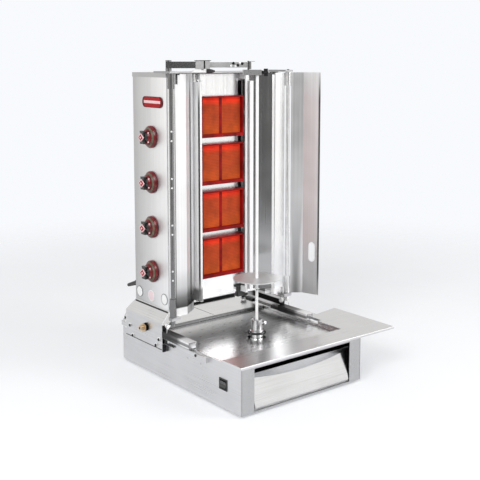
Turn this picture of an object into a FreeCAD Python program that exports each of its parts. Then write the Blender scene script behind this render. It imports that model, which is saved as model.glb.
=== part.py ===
# Doner kebab grill: a gas roaster with a burner tower on a sliding carriage, two folding side wings,
# a motor-driven spit with a telescopic top arm, a drip pan and a grease drawer.
# Millimetres, +Z up, the front faces -Y, +X is to the right of someone standing at the front.
# The origin lies on the ground under the middle of the base.

import FreeCAD, Part
import math
import os
import Sketcher

Vector = FreeCAD.Vector
Rotation = FreeCAD.Rotation
Placement = FreeCAD.Placement

SIZES = {
    # sheet metal
    "sheet": 2.0,
    "thin_sheet": 1.5,
    "running_gap": 0.3,
    "shaft_play": 0.05,
    # base housing
    "base_width": 500.0,
    "base_depth": 670.0,
    "base_top": 149.0,
    "foot_height": 8.0,
    "foot_radius": 18.0,
    "foot_inset": 45.0,
    "opening_width": 400.0,
    "opening_low": 12.0,
    "opening_high": 145.0,
    "seam_inset": 1.5,
    "seam_width": 1.5,
    # drip pan and deck
    "pan_gap": 1.0,
    "deck_length": 173.0,
    "pan_rim": 10.0,
    "pan_depth": 24.0,
    "drain_radius": 14.0,
    "drain_x": 120.0,
    "drain_y": -185.0,
    "deck_seam": 25.0,
    "plate_height": 18.0,
    "plate_hole": 3.25,
    "hole_column_pitch": 49.0,
    "hole_row_pitch": 60.0,
    "hole_middle_gap": 26.0,
    "hole_middle_x": 16.0,
    "hole_first_row": 61.0,
    # shelf
    "shelf_drop": 8.0,
    "shelf_strip": 91.0,
    "shelf_side": 163.0,
    "shelf_wing_length": 287.0,
    "shelf_neck_length": 269.0,
    "shelf_tail_width": 39.0,
    "shelf_tail_length": 395.0,
    "shelf_step_length": 204.0,
    "shelf_round": 2.5,
    # rails on the sides of the base
    "rail_low": 131.0,
    "rail_high": 147.0,
    "rail_out": 9.0,
    "rail_start": 160.0,
    "rail_end_gap": 5.0,
    "stop_length": 47.0,
    "stop_out": 12.0,
    # switch
    "switch_inset": 70.0,
    "switch_length": 35.0,
    "switch_low": 67.0,
    "switch_high": 99.0,
    "switch_depth": 13.0,
    "rocker_radius": 13.0,
    # cable gland
    "gland_radius": 11.0,
    "gland_x": 180.0,
    "gland_z": 50.0,
    # drawer
    "drawer_side_gap": 4.0,
    "tray_front_gap": 12.0,
    "tray_back_gap": 85.0,
    "drawer_wall": 42.0,
    "runner_height": 6.0,
    "guide_foot": 22.0,
    "guide_wall": 30.0,
    "guide_front_gap": 15.0,
    "guide_back_gap": 75.0,
    "face_low": 13.0,
    "face_crease": 22.0,
    "face_high": 109.0,
    "face_dip": 15.0,
    "face_lean": 24.0,
    "face_tuck": 4.0,
    "pull_top": 130.0,
    "pull_set": 3.0,
    # spit drive
    "spit_y": -102.0,
    "shaft_radius": 8.0,
    "shaft_low": 80.0,
    "hub_low": 159.3,
    "hub_ring_radius": 23.0,
    "hub_ring_height": 8.0,
    "hub_radius": 19.0,
    "hub_high": 205.0,
    "rod_radius": 5.0,
    "rod_low": 186.0,
    "rod_high": 1005.0,
    "spigot_radius": 3.5,
    "spigot_high": 1018.0,
    "pin_hole_z": 298.0,
    "disc_radius": 78.0,
    "disc_z": 341.0,
    "disc_thick": 3.0,
    "thumb_screw_z": 186.0,
    "collar_radius": 30.0,
    "bearing_radius": 14.0,
    "gearbox_width": 84.0,
    "gearbox_depth": 70.0,
    "gearbox_low": 70.0,
    "motor_radius": 26.0,
    "motor_length": 110.0,
    "bracket_depth": 76.0,
    "bracket_flange": 14.0,
    # burner tower
    "tower_width": 470.0,
    "tower_front": 68.0,
    "tower_back": 270.0,
    "tower_low": 224.0,
    "tower_high": 1012.0,
    "front_flange": 55.0,
    "hatch_margin": 30.0,
    "cap_hem": 13.0,
    "cover_lap": 12.0,
    "cover_low_gap": 15.0,
    "cover_high_gap": 18.0,
    "louvre_pitch": 60.0,
    "louvre_height": 8.0,
    "louvre_length": 120.0,
    "plate_y": 84.0,
    "plate_low": 241.0,
    "channel_half": 103.0,
    "channel_slot": 84.0,
    "channel_slot_end": 25.0,
    "burner_width": 180.0,
    "burner_height": 138.0,
    "burner_front": 79.0,
    "burner_flange": 27.0,
    "burner_depth": 46.0,
    "chamber_step": 25.0,
    "chamber_rise": 3.0,
    "burner_low": 316.0,
    "burner_pitch": 160.0,
    "tile_width": 78.0,
    "tile_height": 122.0,
    "tile_thick": 10.0,
    "tile_sunk": 15.0,
    "tile_seam": 12.0,
    "tile_lift": 11.0,
    "side_bar_in": 102.0,
    "side_bar_front": 60.0,
    "side_bar_low": 248.0,
    "side_bar_high": 983.0,
    "side_rod_x": 97.0,
    "side_rod_radius": 4.5,
    "side_rod_y": 75.0,
    "side_rod_low": 262.0,
    "side_rod_high": 990.0,
    "rod_block": 20.0,
    "reflector_low": 250.0,
    # wings and their hinge rods
    "hinge_out": 10.0,
    "hinge_y": 27.0,
    "hinge_radius": 7.0,
    "hinge_low": 197.0,
    "wing_first": 56.0,
    "wing_second": 66.0,
    "wing_bend": 36.3,
    "wing_low": 226.0,
    "wing_high": 1011.0,
    "wing_gap": 3.2,
    "wing_open": 143.0,
    "knuckle_radius": 11.0,
    "knuckle_low_top": 287.0,
    "knuckle_high_low": 965.0,
    "grip_slot_low": 344.0,
    "grip_slot_high": 414.0,
    "grip_slot_width": 25.0,
    "grip_slot_at": 36.0,
    "rod_bracket_thick": 6.0,
    "rod_bracket_out": 12.0,
    "rod_bracket_back": 40.0,
    "lower_bracket": 10.0,
    # carriage
    "skirt_clear": 12.0,
    "skirt_lap": 8.0,
    "skirt_crease": 196.0,
    "skirt_low": 108.0,
    "skirt_front": 64.0,
    "skirt_back": 291.0,
    "sled_inset": 14.0,
    "sled_reach": 15.0,
    "sled_low": 152.0,
    "sled_high": 173.0,
    "sled_front": -88.0,
    "front_skirt_y": 35.0,
    "front_skirt_in": 184.0,
    "arch_rise": 6.0,
    "arch_first_in": 30.0,
    "arch_first_drop": 4.0,
    "arch_second_in": 7.0,
    "arch_second_drop": 17.0,
    "arch_end_drop": 12.0,
    "glide_length": 40.0,
    "glide_inset": 20.0,
    "glide_lip": 10.0,
    "screw_radius": 5.0,
    "screw_head": 2.5,
    "screw_rear_y": 23.0,
    "screw_rear_z": 41.0,
    "screw_rear_low_y": 45.0,
    "screw_low_z": 16.0,
    "screw_front_y": 208.0,
    "screw_front_z": 42.0,
    "screw_front_low_y": 191.0,
    # gas
    "knob_y": 160.0,
    "knob_low": 352.0,
    "knob_pitch": 150.5,
    "knob_skirt_radius": 37.0,
    "knob_skirt_depth": 15.0,
    "knob_grip_radius": 22.0,
    "knob_grip_end": 47.0,
    "knob_pointer": 6.0,
    "knob_stem_radius": 4.0,
    "stem_depth": 8.0,
    "valve_radius": 12.0,
    "valve_length": 46.0,
    "manifold_x": 205.0,
    "manifold_y": 190.0,
    "pipe_radius": 7.0,
    "branch_radius": 5.0,
    "branch_x": 60.0,
    "inlet_y": 164.0,
    "inlet_z": 164.0,
    "inlet_radius": 15.0,
    "inlet_length": 24.0,
    # top arm
    "arm_post_out": 3.0,
    "arm_post_y": 50.0,
    "arm_post_radius": 6.0,
    "arm_low": 1029.0,
    "arm_square": 21.0,
    "arm_wall": 1.7,
    "arm_length": 130.0,
    "arm_tail": 9.0,
    "clamp_start": 85.0,
    "clamp_wall": 3.0,
    "slider_start": 40.0,
    "clamp_knob_radius": 11.0,
    "clamp_knob_height": 8.0,
    "slider_end": 252.0,
    "bearing_low": 1007.0,
    "bearing_high": 1024.0,
    "bearing_bore": 8.5,
    "bearing_half": 15.0,
    "bearing_lap": 46.0,
    "bearing_out": 12.0,
    "bearing_plate_top": 1052.0,
    "nut_reach": 22.0,
    # rear handle
    "handle_inset": 10.0,
    "handle_high": 292.0,
    "handle_low": 268.0,
    "handle_back": 333.0,
    "handle_radius": 6.0,
}

doc = FreeCAD.newDocument("doner_grill")
sheet = doc.addObject("Spreadsheet::Sheet", "Sizes")
for row, (alias, amount) in enumerate(SIZES.items(), start=1):
    sheet.set(f"A{row}", alias)
    sheet.set(f"B{row}", str(amount))
    sheet.setAlias(f"B{row}", alias)
doc.recompute()


# A length from the sheet together with the expression that gives it, so that a formula written once
# places the geometry and also binds the property to the sheet.
class Size:
    def __init__(self, number, text):
        self.number = number
        self.text = text

    def __add__(self, other):
        return Size(self.number + number_of(other), f"({self.text} + {text_of(other)})")

    def __radd__(self, other):
        return Size(number_of(other) + self.number, f"({text_of(other)} + {self.text})")

    def __sub__(self, other):
        return Size(self.number - number_of(other), f"({self.text} - {text_of(other)})")

    def __rsub__(self, other):
        return Size(number_of(other) - self.number, f"({text_of(other)} - {self.text})")

    def __mul__(self, other):
        return Size(self.number * number_of(other), f"({self.text} * {text_of(other)})")

    def __rmul__(self, other):
        return self * other

    def __truediv__(self, other):
        return Size(self.number / number_of(other), f"({self.text} / {text_of(other)})")

    def __neg__(self):
        return Size(-self.number, f"(0 - {self.text})")


def number_of(amount):
    return amount.number if isinstance(amount, Size) else float(amount)


def text_of(amount):
    return amount.text if isinstance(amount, Size) else f"({amount})"


def cosine(angle):
    return Size(math.cos(math.radians(angle.number)), f"cos({angle.text})")


def sine(angle):
    return Size(math.sin(math.radians(angle.number)), f"sin({angle.text})")


def tangent(angle):
    return sine(angle) / cosine(angle)


def square_root(amount):
    return Size(math.sqrt(amount.number), f"sqrt({amount.text})")


class SheetSizes:
    def __getattr__(self, alias):
        return Size(float(sheet.get(alias)), f"Sizes.{alias}")


size = SheetSizes()
parts = []


def bind(thing, prop, amount):
    thing.setExpression(prop, text_of(amount))


# Marks an object as a sub-part: its label names its file.
def keep(thing, label):
    thing.Label = label
    parts.append(thing)
    return thing


def new_body(name, base=None, turn=None):
    made = doc.addObject("PartDesign::Body", name + "_body")
    made.AllowCompound = True
    if base is not None:
        for axis, amount in zip("xyz", base):
            bind(made, f"Placement.Base.{axis}", amount)
    if turn is not None:
        bind(made, "Placement.Rotation.Angle", turn)
    return made


# A sketch on one of the body's own origin planes: XY looks up, XZ looks to -Y, YZ looks to +X.
def new_sketch(body, plane, lift=0.0):
    origin_plane = next(item for item in body.Origin.OriginFeatures if item.Role == plane + "_Plane")
    drawn = body.newObject("Sketcher::SketchObject", body.Name + "_sketch")
    drawn.AttachmentSupport = [(origin_plane, "")]
    drawn.MapMode = "FlatFace"
    bind(drawn, "AttachmentOffset.Base.z", lift)
    return drawn


def tie_points(drawn, ties):
    rules = []
    for kind, line, end, amount in ties:
        rules.append(Sketcher.Constraint(kind, -1, 1, line, end, number_of(amount)))
    for index, (kind, line, end, amount) in zip(drawn.addConstraint(rules), ties):
        drawn.setExpression(f"Constraints[{index}]", text_of(amount))


# A closed outline of straight lines, each corner held at its two sizes from the sketch's origin.
def outline(drawn, corners):
    first = drawn.GeometryCount
    count = len(corners)
    spots = [Vector(number_of(x), number_of(y), 0) for x, y in corners]
    drawn.addGeometry([Part.LineSegment(spots[i], spots[(i + 1) % count]) for i in range(count)])
    joints = []
    for i in range(count):
        joints.append(Sketcher.Constraint("Coincident", first + i, 2, first + (i + 1) % count, 1))
    drawn.addConstraint(joints)
    ties = []
    for i, (x, y) in enumerate(corners):
        ties.append(("DistanceX", first + i, 1, x))
        ties.append(("DistanceY", first + i, 1, y))
    tie_points(drawn, ties)


def rectangle(drawn, x, y):
    outline(drawn, [(x[0], y[0]), (x[1], y[0]), (x[1], y[1]), (x[0], y[1])])


def circle(drawn, x, y, radius):
    spot = Vector(number_of(x), number_of(y), 0)
    index = drawn.addGeometry(Part.Circle(spot, Vector(0, 0, 1), number_of(radius)))
    rule = drawn.addConstraint(Sketcher.Constraint("Radius", index, number_of(radius)))
    drawn.setExpression(f"Constraints[{rule}]", text_of(radius))
    tie_points(drawn, [("DistanceX", index, 3, x), ("DistanceY", index, 3, y)])


# Adds or cuts material along the sketch's normal, or against it, and checks that it took effect.
def extrude(kind, body, drawn, length, backwards):
    doc.recompute()
    before = body.Shape.Volume if body.Tip else 0.0
    made = body.newObject("PartDesign::" + kind, body.Name + "_" + kind.lower())
    made.Profile = drawn
    made.Reversed = backwards
    bind(made, "Length", length)
    doc.recompute()
    change = body.Shape.Volume - before
    if change == 0.0 or (change > 0.0) != (kind == "Pad"):
        raise ValueError(f"{made.Name} has no effect")
    return made


def pad(body, drawn, length, backwards=False):
    return extrude("Pad", body, drawn, length, backwards)


def pocket(body, drawn, length, backwards=False):
    return extrude("Pocket", body, drawn, length, backwards)


def revolve(body, drawn, axis):
    made = body.newObject("PartDesign::Revolution", body.Name + "_revolution")
    made.Profile = drawn
    made.ReferenceAxis = (drawn, [axis])
    made.Angle = 360.0
    return made


# Rounds the edges of the body's last feature that the test picks.
def round_edges(body, radius, wanted):
    doc.recompute()
    last = body.Tip
    names = [f"Edge{i}" for i, edge in enumerate(last.Shape.Edges, start=1) if wanted(edge)]
    made = body.newObject("PartDesign::Fillet", body.Name + "_fillet")
    made.Base = (last, names)
    bind(made, "Radius", radius)
    return made


def is_upright(edge):
    ends = [vertex.Point for vertex in edge.Vertexes]
    return len(ends) == 2 and abs(ends[0].x - ends[1].x) < 0.01 and abs(ends[0].y - ends[1].y) < 0.01


# Whether all of an edge has one value of x, y or z, counted 0, 1 or 2.
def lies_on(edge, axis, value):
    return all(abs(vertex.Point[axis] - value) < 0.01 for vertex in edge.Vertexes)


def block(name, x, y, z):
    made = doc.addObject("Part::Box", name)
    for side, axis, (low, high) in zip(("Length", "Width", "Height"), "xyz", (x, y, z)):
        bind(made, side, high - low)
        bind(made, f"Placement.Base.{axis}", low)
    return made


TURNS = {
    "x": Rotation(Vector(0, 1, 0), 90),
    "y": Rotation(Vector(1, 0, 0), -90),
    "z": Rotation(),
}


# A cylinder or cone that starts at the given point and runs along +X, +Y or +Z.
def cylinder(name, start, axis, radius, length, end_radius=None):
    if end_radius is None:
        made = doc.addObject("Part::Cylinder", name)
        bind(made, "Radius", radius)
    else:
        made = doc.addObject("Part::Cone", name)
        bind(made, "Radius1", radius)
        bind(made, "Radius2", end_radius)
    bind(made, "Height", length)
    made.Placement = Placement(Vector(), TURNS[axis])
    for letter, amount in zip("xyz", start):
        bind(made, f"Placement.Base.{letter}", amount)
    return made


def ball(name, centre, radius):
    made = doc.addObject("Part::Sphere", name)
    bind(made, "Radius", radius)
    for letter, amount in zip("xyz", centre):
        bind(made, f"Placement.Base.{letter}", amount)
    return made


def cut(name, base, tool):
    made = doc.addObject("Part::Cut", name)
    made.Base = base
    made.Tool = tool
    return made


def fuse(name, pieces):
    made = doc.addObject("Part::MultiFuse", name)
    made.Shapes = pieces
    return made


# Several separate solids that make up one sub-part.
def group(name, pieces):
    made = doc.addObject("Part::Compound", name)
    made.Links = pieces
    return made


def between(middle, half):
    return (middle - half, middle + half)


# Coordinates that several pieces share
half_base = size.base_width / 2
front = -size.base_depth / 2
back = size.base_depth / 2
floor_top = size.foot_height + size.sheet
rim_top = size.base_top + size.sheet
pan_floor = size.base_top - size.pan_depth
pan_front = front + size.shelf_strip + size.pan_gap
pan_back = back - size.deck_length
half_drawer = size.opening_width / 2 - size.drawer_side_gap
switch_front = front + size.switch_inset
switch_back = switch_front + size.switch_length
half_tower = size.tower_width / 2
hinge_x = half_tower + size.hinge_out
arm_post_x = half_tower + size.arm_post_out
skirt_x = half_base + size.skirt_clear
sled_inner_x = half_base - size.sled_inset
sled_outer_x = half_base + size.sled_reach
burner_seat = size.burner_front + size.burner_flange
zero = Size(0.0, "0")
burner_rows = [size.burner_low + k * size.burner_pitch for k in range(4)]
knob_rows = [size.knob_low + k * size.knob_pitch for k in range(4)]


# Base: a folded sheet box, open above the drip pan and below, with the drawer opening in its front
def base_housing():
    body = new_body("base_housing")
    walls = new_sketch(body, "XY", size.foot_height)
    rectangle(walls, (-half_base, half_base), (front, back))
    inside = half_base - size.sheet
    rectangle(walls, (-inside, inside), (front + size.sheet, back - size.sheet))
    pad(body, walls, size.base_top - size.foot_height)
    opening = new_sketch(body, "XZ", -front)
    rectangle(opening, between(zero, size.opening_width / 2), (size.opening_low, size.opening_high))
    pocket(body, opening, size.sheet * 2)
    switch = new_sketch(body, "YZ", -half_base + size.sheet)
    rectangle(switch, (switch_front, switch_back), (size.switch_low, size.switch_high))
    pocket(body, switch, size.sheet * 2)
    gland = new_sketch(body, "XZ", -back + size.sheet)
    circle(gland, size.gland_x, size.gland_z, size.gland_radius * 0.8)
    pocket(body, gland, size.sheet * 2)
    seams = new_sketch(body, "XZ", -front)
    outer = half_base - size.seam_inset
    for side in (-1, 1):
        edges = sorted((side * outer, side * (outer - size.seam_width)), key=number_of)
        rectangle(seams, edges, (size.foot_height, size.base_top))
    pocket(body, seams, size.sheet / 2)
    return keep(body, "base_housing")


def base_floor():
    inside = half_base - size.sheet
    plate = block("floor_plate", (-inside, inside), (front + size.sheet, back - size.sheet),
                  (size.foot_height, floor_top))
    return keep(plate, "base_floor")


def feet():
    made = []
    for x in (-half_base + size.foot_inset, half_base - size.foot_inset):
        for y in (front + size.foot_inset, back - size.foot_inset):
            made.append(cylinder("foot", (x, y, zero), "z", size.foot_radius * 0.85, size.foot_height,
                                 size.foot_radius))
    return keep(group("feet_group", made), "feet")


# Two deck panels behind the drip pan, lying on the walls of the base
def rear_deck():
    start = pan_back + size.running_gap
    z = (size.base_top, rim_top)
    left = block("deck_left", (-half_base, size.deck_seam - size.running_gap), (start, back), z)
    right = block("deck_right", (size.deck_seam + size.running_gap, half_base), (start, back), z)
    return keep(group("deck_group", [left, right]), "rear_deck")


# Drip pan: a rim that lies on the walls of the base, and a tub with a drain over the drawer
def drip_pan():
    body = new_body("drip_pan")
    inner_x = half_base - size.pan_rim
    inner_y = (pan_front + size.pan_rim, pan_back - size.pan_rim)
    tub = new_sketch(body, "XY", pan_floor - size.sheet)
    rectangle(tub, between(zero, inner_x + size.sheet), (inner_y[0] - size.sheet, inner_y[1] + size.sheet))
    pad(body, tub, size.pan_depth + size.sheet)
    round_edges(body, size.pan_rim + size.sheet, is_upright)
    rim = new_sketch(body, "XY", size.base_top)
    rectangle(rim, between(zero, half_base), (pan_front, pan_back))
    pad(body, rim, size.sheet)
    hollow = new_sketch(body, "XY", pan_floor)
    rectangle(hollow, between(zero, inner_x), inner_y)
    pocket(body, hollow, size.pan_depth + size.sheet * 2, True)
    drains = new_sketch(body, "XY", pan_floor)
    circle(drains, size.drain_x, size.drain_y, size.drain_radius)
    circle(drains, zero, size.spit_y, size.bearing_radius)
    pocket(body, drains, size.sheet * 2)
    return keep(body, "drip_pan")


# Perforated plate: a tray turned upside down on the floor of the pan, with rows of drip holes
def perforated_plate():
    body = new_body("perforated_plate")
    half_x = half_base - size.pan_rim - size.thin_sheet
    y = (pan_front + size.pan_rim + size.thin_sheet, pan_back - size.pan_rim - size.thin_sheet)
    sheet_z = new_sketch(body, "XY", pan_floor)
    rectangle(sheet_z, between(zero, half_x), y)
    pad(body, sheet_z, size.plate_height)
    under = new_sketch(body, "XY", pan_floor)
    inset_y = (y[0] + size.thin_sheet, y[1] - size.thin_sheet)
    rectangle(under, between(zero, half_x - size.thin_sheet), inset_y)
    pocket(body, under, size.plate_height - size.thin_sheet, True)
    holes = new_sketch(body, "XY", pan_floor + size.plate_height)
    circle(holes, zero, size.spit_y, size.collar_radius + size.sheet / 2)
    first_row = size.spit_y - size.hole_first_row
    for side in (-1, 1):
        for column in range(5):
            x = size.hole_middle_x + side * (size.hole_middle_gap / 2 + column * size.hole_column_pitch)
            for row in range(5):
                near_collar = row == 1 and column == 0
                if not near_collar:
                    circle(holes, x, first_row + row * size.hole_row_pitch, size.plate_hole)
    pocket(body, holes, size.thin_sheet * 2)
    return keep(body, "perforated_plate")


# Shelf: an L-shaped folded plate over the front of the base and out past its right side, with a
# tail along the carriage
def shelf_plate():
    body = new_body("shelf_plate")
    side_x = half_base + size.running_gap
    strip_back = front + size.shelf_strip
    right = half_base + size.shelf_side
    wing_back = front + size.shelf_wing_length
    neck_back = front + size.shelf_neck_length
    tail_back = front + size.shelf_tail_length
    step_y = front + size.shelf_step_length
    inner_x = sled_outer_x + size.sheet
    tail_x = inner_x + size.shelf_tail_width
    outer = [
        (-half_base, front), (right, front), (right, wing_back), (tail_x, neck_back), (tail_x, tail_back),
        (inner_x, tail_back), (inner_x, step_y), (side_x, step_y), (side_x, strip_back),
        (-half_base, strip_back),
    ]
    t = size.thin_sheet
    inner = [
        (-half_base + t, front + t), (right - t, front + t), (right - t, wing_back - t * 1.2),
        (tail_x - t, neck_back - t * 1.2), (tail_x - t, tail_back - t), (inner_x + t, tail_back - t),
        (inner_x + t, step_y - t), (side_x + t, step_y - t), (side_x + t, strip_back - t),
        (-half_base + t, strip_back - t),
    ]
    plate = new_sketch(body, "XY", size.base_top)
    outline(plate, outer)
    pad(body, plate, size.shelf_drop)
    top = number_of(size.base_top + size.shelf_drop)
    rims = [(0, number_of(-half_base)), (0, number_of(right)), (1, number_of(front))]
    round_edges(body, size.shelf_round,
                lambda edge: lies_on(edge, 2, top) and any(lies_on(edge, *rim) for rim in rims))
    under = new_sketch(body, "XY", size.base_top)
    outline(under, inner)
    pocket(body, under, size.shelf_drop - t, True)
    return keep(body, "shelf_plate")


# Rails for the carriage on both sides of the base, each with a stop block at its front end
def side_rails():
    made = []
    rail_front = front + size.rail_start
    for side in (-1, 1):
        edges = sorted((side * half_base, side * (half_base + size.rail_out)), key=number_of)
        rail = block("rail", edges, (rail_front + size.stop_length, back - size.rail_end_gap),
                     (size.rail_low, size.rail_high))
        edges = sorted((side * half_base, side * (half_base + size.stop_out)), key=number_of)
        stop = block("rail_stop", edges, (rail_front, rail_front + size.stop_length),
                     (size.rail_low, size.rail_high))
        made.append(fuse("rail_with_stop", [rail, stop]))
    return keep(group("rail_group", made), "side_rails")


# Motor bracket: a channel from wall to wall under the pan
def motor_bracket():
    body = new_body("motor_bracket", (zero, size.spit_y, zero))
    top = pan_floor - size.sheet * 2
    half = size.bracket_depth / 2
    low = top - size.bracket_flange
    section = new_sketch(body, "YZ", -half_base + size.sheet)
    t = size.sheet
    outline(section, [(-half, low), (-half + t, low), (-half + t, top - t), (half - t, top - t),
                      (half - t, low), (half, low), (half, top), (-half, top)])
    pad(body, section, size.base_width - size.sheet * 2)
    bore = new_sketch(body, "XY", top)
    circle(bore, zero, zero, size.bearing_radius)
    pocket(body, bore, size.sheet * 2)
    return keep(body, "motor_bracket")


def gearbox_top():
    return pan_floor - size.sheet * 3


# Gearbox under the bracket with the motor beside it; the vertical output takes the drive shaft
def motor_gearbox():
    body = new_body("motor_gearbox", (zero, size.spit_y, zero))
    top = gearbox_top()
    case = new_sketch(body, "XY", size.gearbox_low)
    rectangle(case, between(zero, size.gearbox_width / 2), between(zero, size.gearbox_depth / 2))
    pad(body, case, top - size.gearbox_low)
    round_edges(body, size.shaft_radius, is_upright)
    motor = new_sketch(body, "YZ", size.gearbox_width / 2)
    circle(motor, zero, top - size.motor_radius - size.sheet / 2, size.motor_radius)
    pad(body, motor, size.motor_length)
    bore = new_sketch(body, "XY", top)
    circle(bore, zero, zero, size.shaft_radius + size.shaft_play)
    pocket(body, bore, top - size.shaft_low + size.running_gap)
    return keep(body, "motor_gearbox")


# Collar: a raised boss in the pan that keeps fat off the bearing under the hub
def pan_collar():
    body = new_body("pan_collar", (zero, size.spit_y, zero))
    profile = new_sketch(body, "XZ")
    top = size.hub_low - size.running_gap
    bore = size.bearing_radius
    outline(profile, [
        (bore, pan_floor),
        (size.collar_radius, pan_floor),
        (size.collar_radius, pan_floor + size.sheet),
        (size.hub_radius + size.sheet, pan_floor + size.plate_height),
        (size.hub_radius + size.sheet, top),
        (bore, top),
    ])
    revolve(body, profile, "V_Axis")
    return keep(body, "pan_collar")


def lower_bearing():
    body = new_body("lower_bearing", (zero, size.spit_y, zero))
    profile = new_sketch(body, "XZ")
    rectangle(profile, (size.shaft_radius + size.shaft_play, size.bearing_radius - size.shaft_play),
              (pan_floor - size.sheet, size.hub_low - size.running_gap))
    revolve(body, profile, "V_Axis")
    return keep(body, "lower_bearing")


# Switch: a frame snapped into the left wall, and a rocker that tips about an axis along Y
def switch_bezel():
    y = (switch_front + size.running_gap, switch_back - size.running_gap)
    z = (size.switch_low + size.running_gap, size.switch_high - size.running_gap)
    wall = size.sheet
    depth = -half_base + size.switch_depth
    case = block("switch_case", (-half_base, depth), y, z)
    flange = block("switch_flange", (-half_base - size.sheet, -half_base),
                   (y[0] - wall, y[1] + wall), (z[0] - wall, z[1] + wall))
    hollow = block("switch_hollow", (-half_base - size.sheet * 2, depth - wall),
                   (y[0] + wall, y[1] - wall), (z[0] + wall, z[1] - wall))
    return keep(cut("switch_frame", fuse("switch_solid", [case, flange]), hollow), "switch_bezel")


def switch_rocker():
    middle = (size.switch_low + size.switch_high) / 2
    body = new_body("switch_rocker", (-half_base + size.sheet * 2, zero, middle))
    reach = size.rocker_radius
    side_wall = size.sheet + size.running_gap * 2
    section = new_sketch(body, "XZ", -switch_back + side_wall)
    outline(section, [(zero, -reach * 0.7), (zero, reach * 0.7), (-reach * 0.6, reach * 0.79),
                      (-reach * 0.4, zero), (-reach * 0.6, -reach * 0.79)])
    pad(body, section, switch_back - switch_front - side_wall * 2)
    return keep(body, "switch_rocker")


# Drawer: runners on the base floor, a tray, and a leaning front whose pull lip flares out from a
# curved crease
def drawer_guides():
    made = []
    low = floor_top
    outer = half_drawer + size.running_gap + size.thin_sheet
    y = (front + size.guide_front_gap, back - size.guide_back_gap)
    for side in (-1, 1):
        x = sorted((side * (outer - size.guide_foot), side * outer), key=number_of)
        foot = block("guide_foot", x, y, (low, low + size.runner_height - size.running_gap))
        x = sorted((side * (outer - size.thin_sheet), side * outer), key=number_of)
        wall = block("guide_wall", x, y, (low, low + size.guide_wall))
        made.append(fuse("guide", [foot, wall]))
    return keep(group("guide_group", made), "drawer_guides")


def drawer_tray():
    low = floor_top + size.runner_height
    x = between(zero, half_drawer)
    y = (front + size.tray_front_gap, back - size.tray_back_gap)
    outer = block("tray_outer", x, y, (low, low + size.drawer_wall))
    t = size.thin_sheet
    inner = block("tray_inner", (x[0] + t, x[1] - t), (y[0] + t, y[1] - t),
                  (low + t, low + size.drawer_wall * 2))
    return keep(cut("tray_shell", outer, inner), "drawer_tray")


def drawer_front():
    body = new_body("drawer_front")
    t = size.sheet
    rise = size.face_high - size.face_crease
    stations = []
    for x, dip in ((-half_drawer, zero), (zero, size.face_dip), (half_drawer, zero)):
        crease = size.face_high - dip
        crease_y = front + (rise - dip) / rise * size.face_lean
        pull_y = front + size.pull_set
        drawn = new_sketch(body, "YZ", x)
        outline(drawn, [
            (front + size.face_tuck, size.face_low),
            (front, size.face_crease),
            (crease_y, crease),
            (pull_y, size.pull_top),
            (pull_y + t, size.pull_top),
            (crease_y + t, crease),
            (front + t, size.face_crease),
            (front + size.face_tuck + t, size.face_low),
        ])
        stations.append(drawn)
    doc.recompute()
    loft = body.newObject("PartDesign::AdditiveLoft", "drawer_front_loft")
    loft.Profile = stations[0]
    loft.Sections = stations[1:]
    loft.Ruled = False
    return keep(body, "drawer_front")


def cable_gland():
    y = back
    nut = cylinder("gland_nut", (size.gland_x, y, size.gland_z), "y", size.gland_radius, size.sheet * 3)
    dome = cylinder("gland_dome", (size.gland_x, y + size.sheet * 3, size.gland_z), "y",
                    size.gland_radius * 0.9, size.sheet * 3, size.gland_radius * 0.6)
    neck = cylinder("gland_neck", (size.gland_x, y - size.sheet * 5, size.gland_z), "y",
                    size.gland_radius * 0.8 - size.shaft_play, size.sheet * 5)
    bore = cylinder("gland_bore", (size.gland_x, y - size.sheet * 6, size.gland_z), "y",
                    size.gland_radius * 0.35, size.sheet * 15)
    return keep(cut("gland_body", fuse("gland_solid", [nut, dome, neck]), bore), "cable_gland")


# Spit: shaft, hub with thumb screw, rod with a cross hole and a spigot at its top, and meat disc
def drive_shaft():
    top = size.rod_low - size.running_gap
    shaft = cylinder("shaft", (zero, size.spit_y, size.shaft_low), "z", size.shaft_radius,
                     top - size.shaft_low)
    return keep(shaft, "drive_shaft")


def drive_hub():
    body = new_body("drive_hub", (zero, size.spit_y, zero))
    profile = new_sketch(body, "XZ")
    low = size.hub_low
    ring_top = low + size.hub_ring_height
    shaft_bore = size.shaft_radius + size.shaft_play
    rod_bore = size.rod_radius + size.shaft_play
    outline(profile, [
        (shaft_bore, low),
        (size.hub_ring_radius, low),
        (size.hub_ring_radius, ring_top),
        (size.hub_radius, ring_top + size.sheet),
        (size.hub_radius, size.hub_high - size.sheet),
        (size.hub_radius - size.sheet, size.hub_high),
        (rod_bore, size.hub_high),
        (rod_bore, size.rod_low),
        (shaft_bore, size.rod_low),
    ])
    revolve(body, profile, "V_Axis")
    stem = new_sketch(body, "YZ", size.hub_radius * 0.7)
    circle(stem, zero, size.thumb_screw_z, size.sheet * 1.75)
    pad(body, stem, size.hub_radius * 0.3 + size.hub_ring_height)
    knob = new_sketch(body, "YZ", size.hub_radius + size.hub_ring_height)
    circle(knob, zero, size.thumb_screw_z, size.hub_ring_height)
    pad(body, knob, size.hub_ring_height)
    return keep(body, "drive_hub")


def spit_rod():
    body = new_body("spit_rod", (zero, size.spit_y, zero))
    profile = new_sketch(body, "XZ")
    outline(profile, [
        (zero, size.rod_low),
        (size.rod_radius, size.rod_low),
        (size.rod_radius, size.rod_high),
        (size.spigot_radius, size.rod_high),
        (size.spigot_radius, size.spigot_high),
        (zero, size.spigot_high),
    ])
    revolve(body, profile, "V_Axis")
    hole = new_sketch(body, "YZ", size.rod_radius * 2)
    circle(hole, zero, size.pin_hole_z, size.rod_radius * 0.4)
    pocket(body, hole, size.rod_radius * 4)
    return keep(body, "spit_rod")


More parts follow.
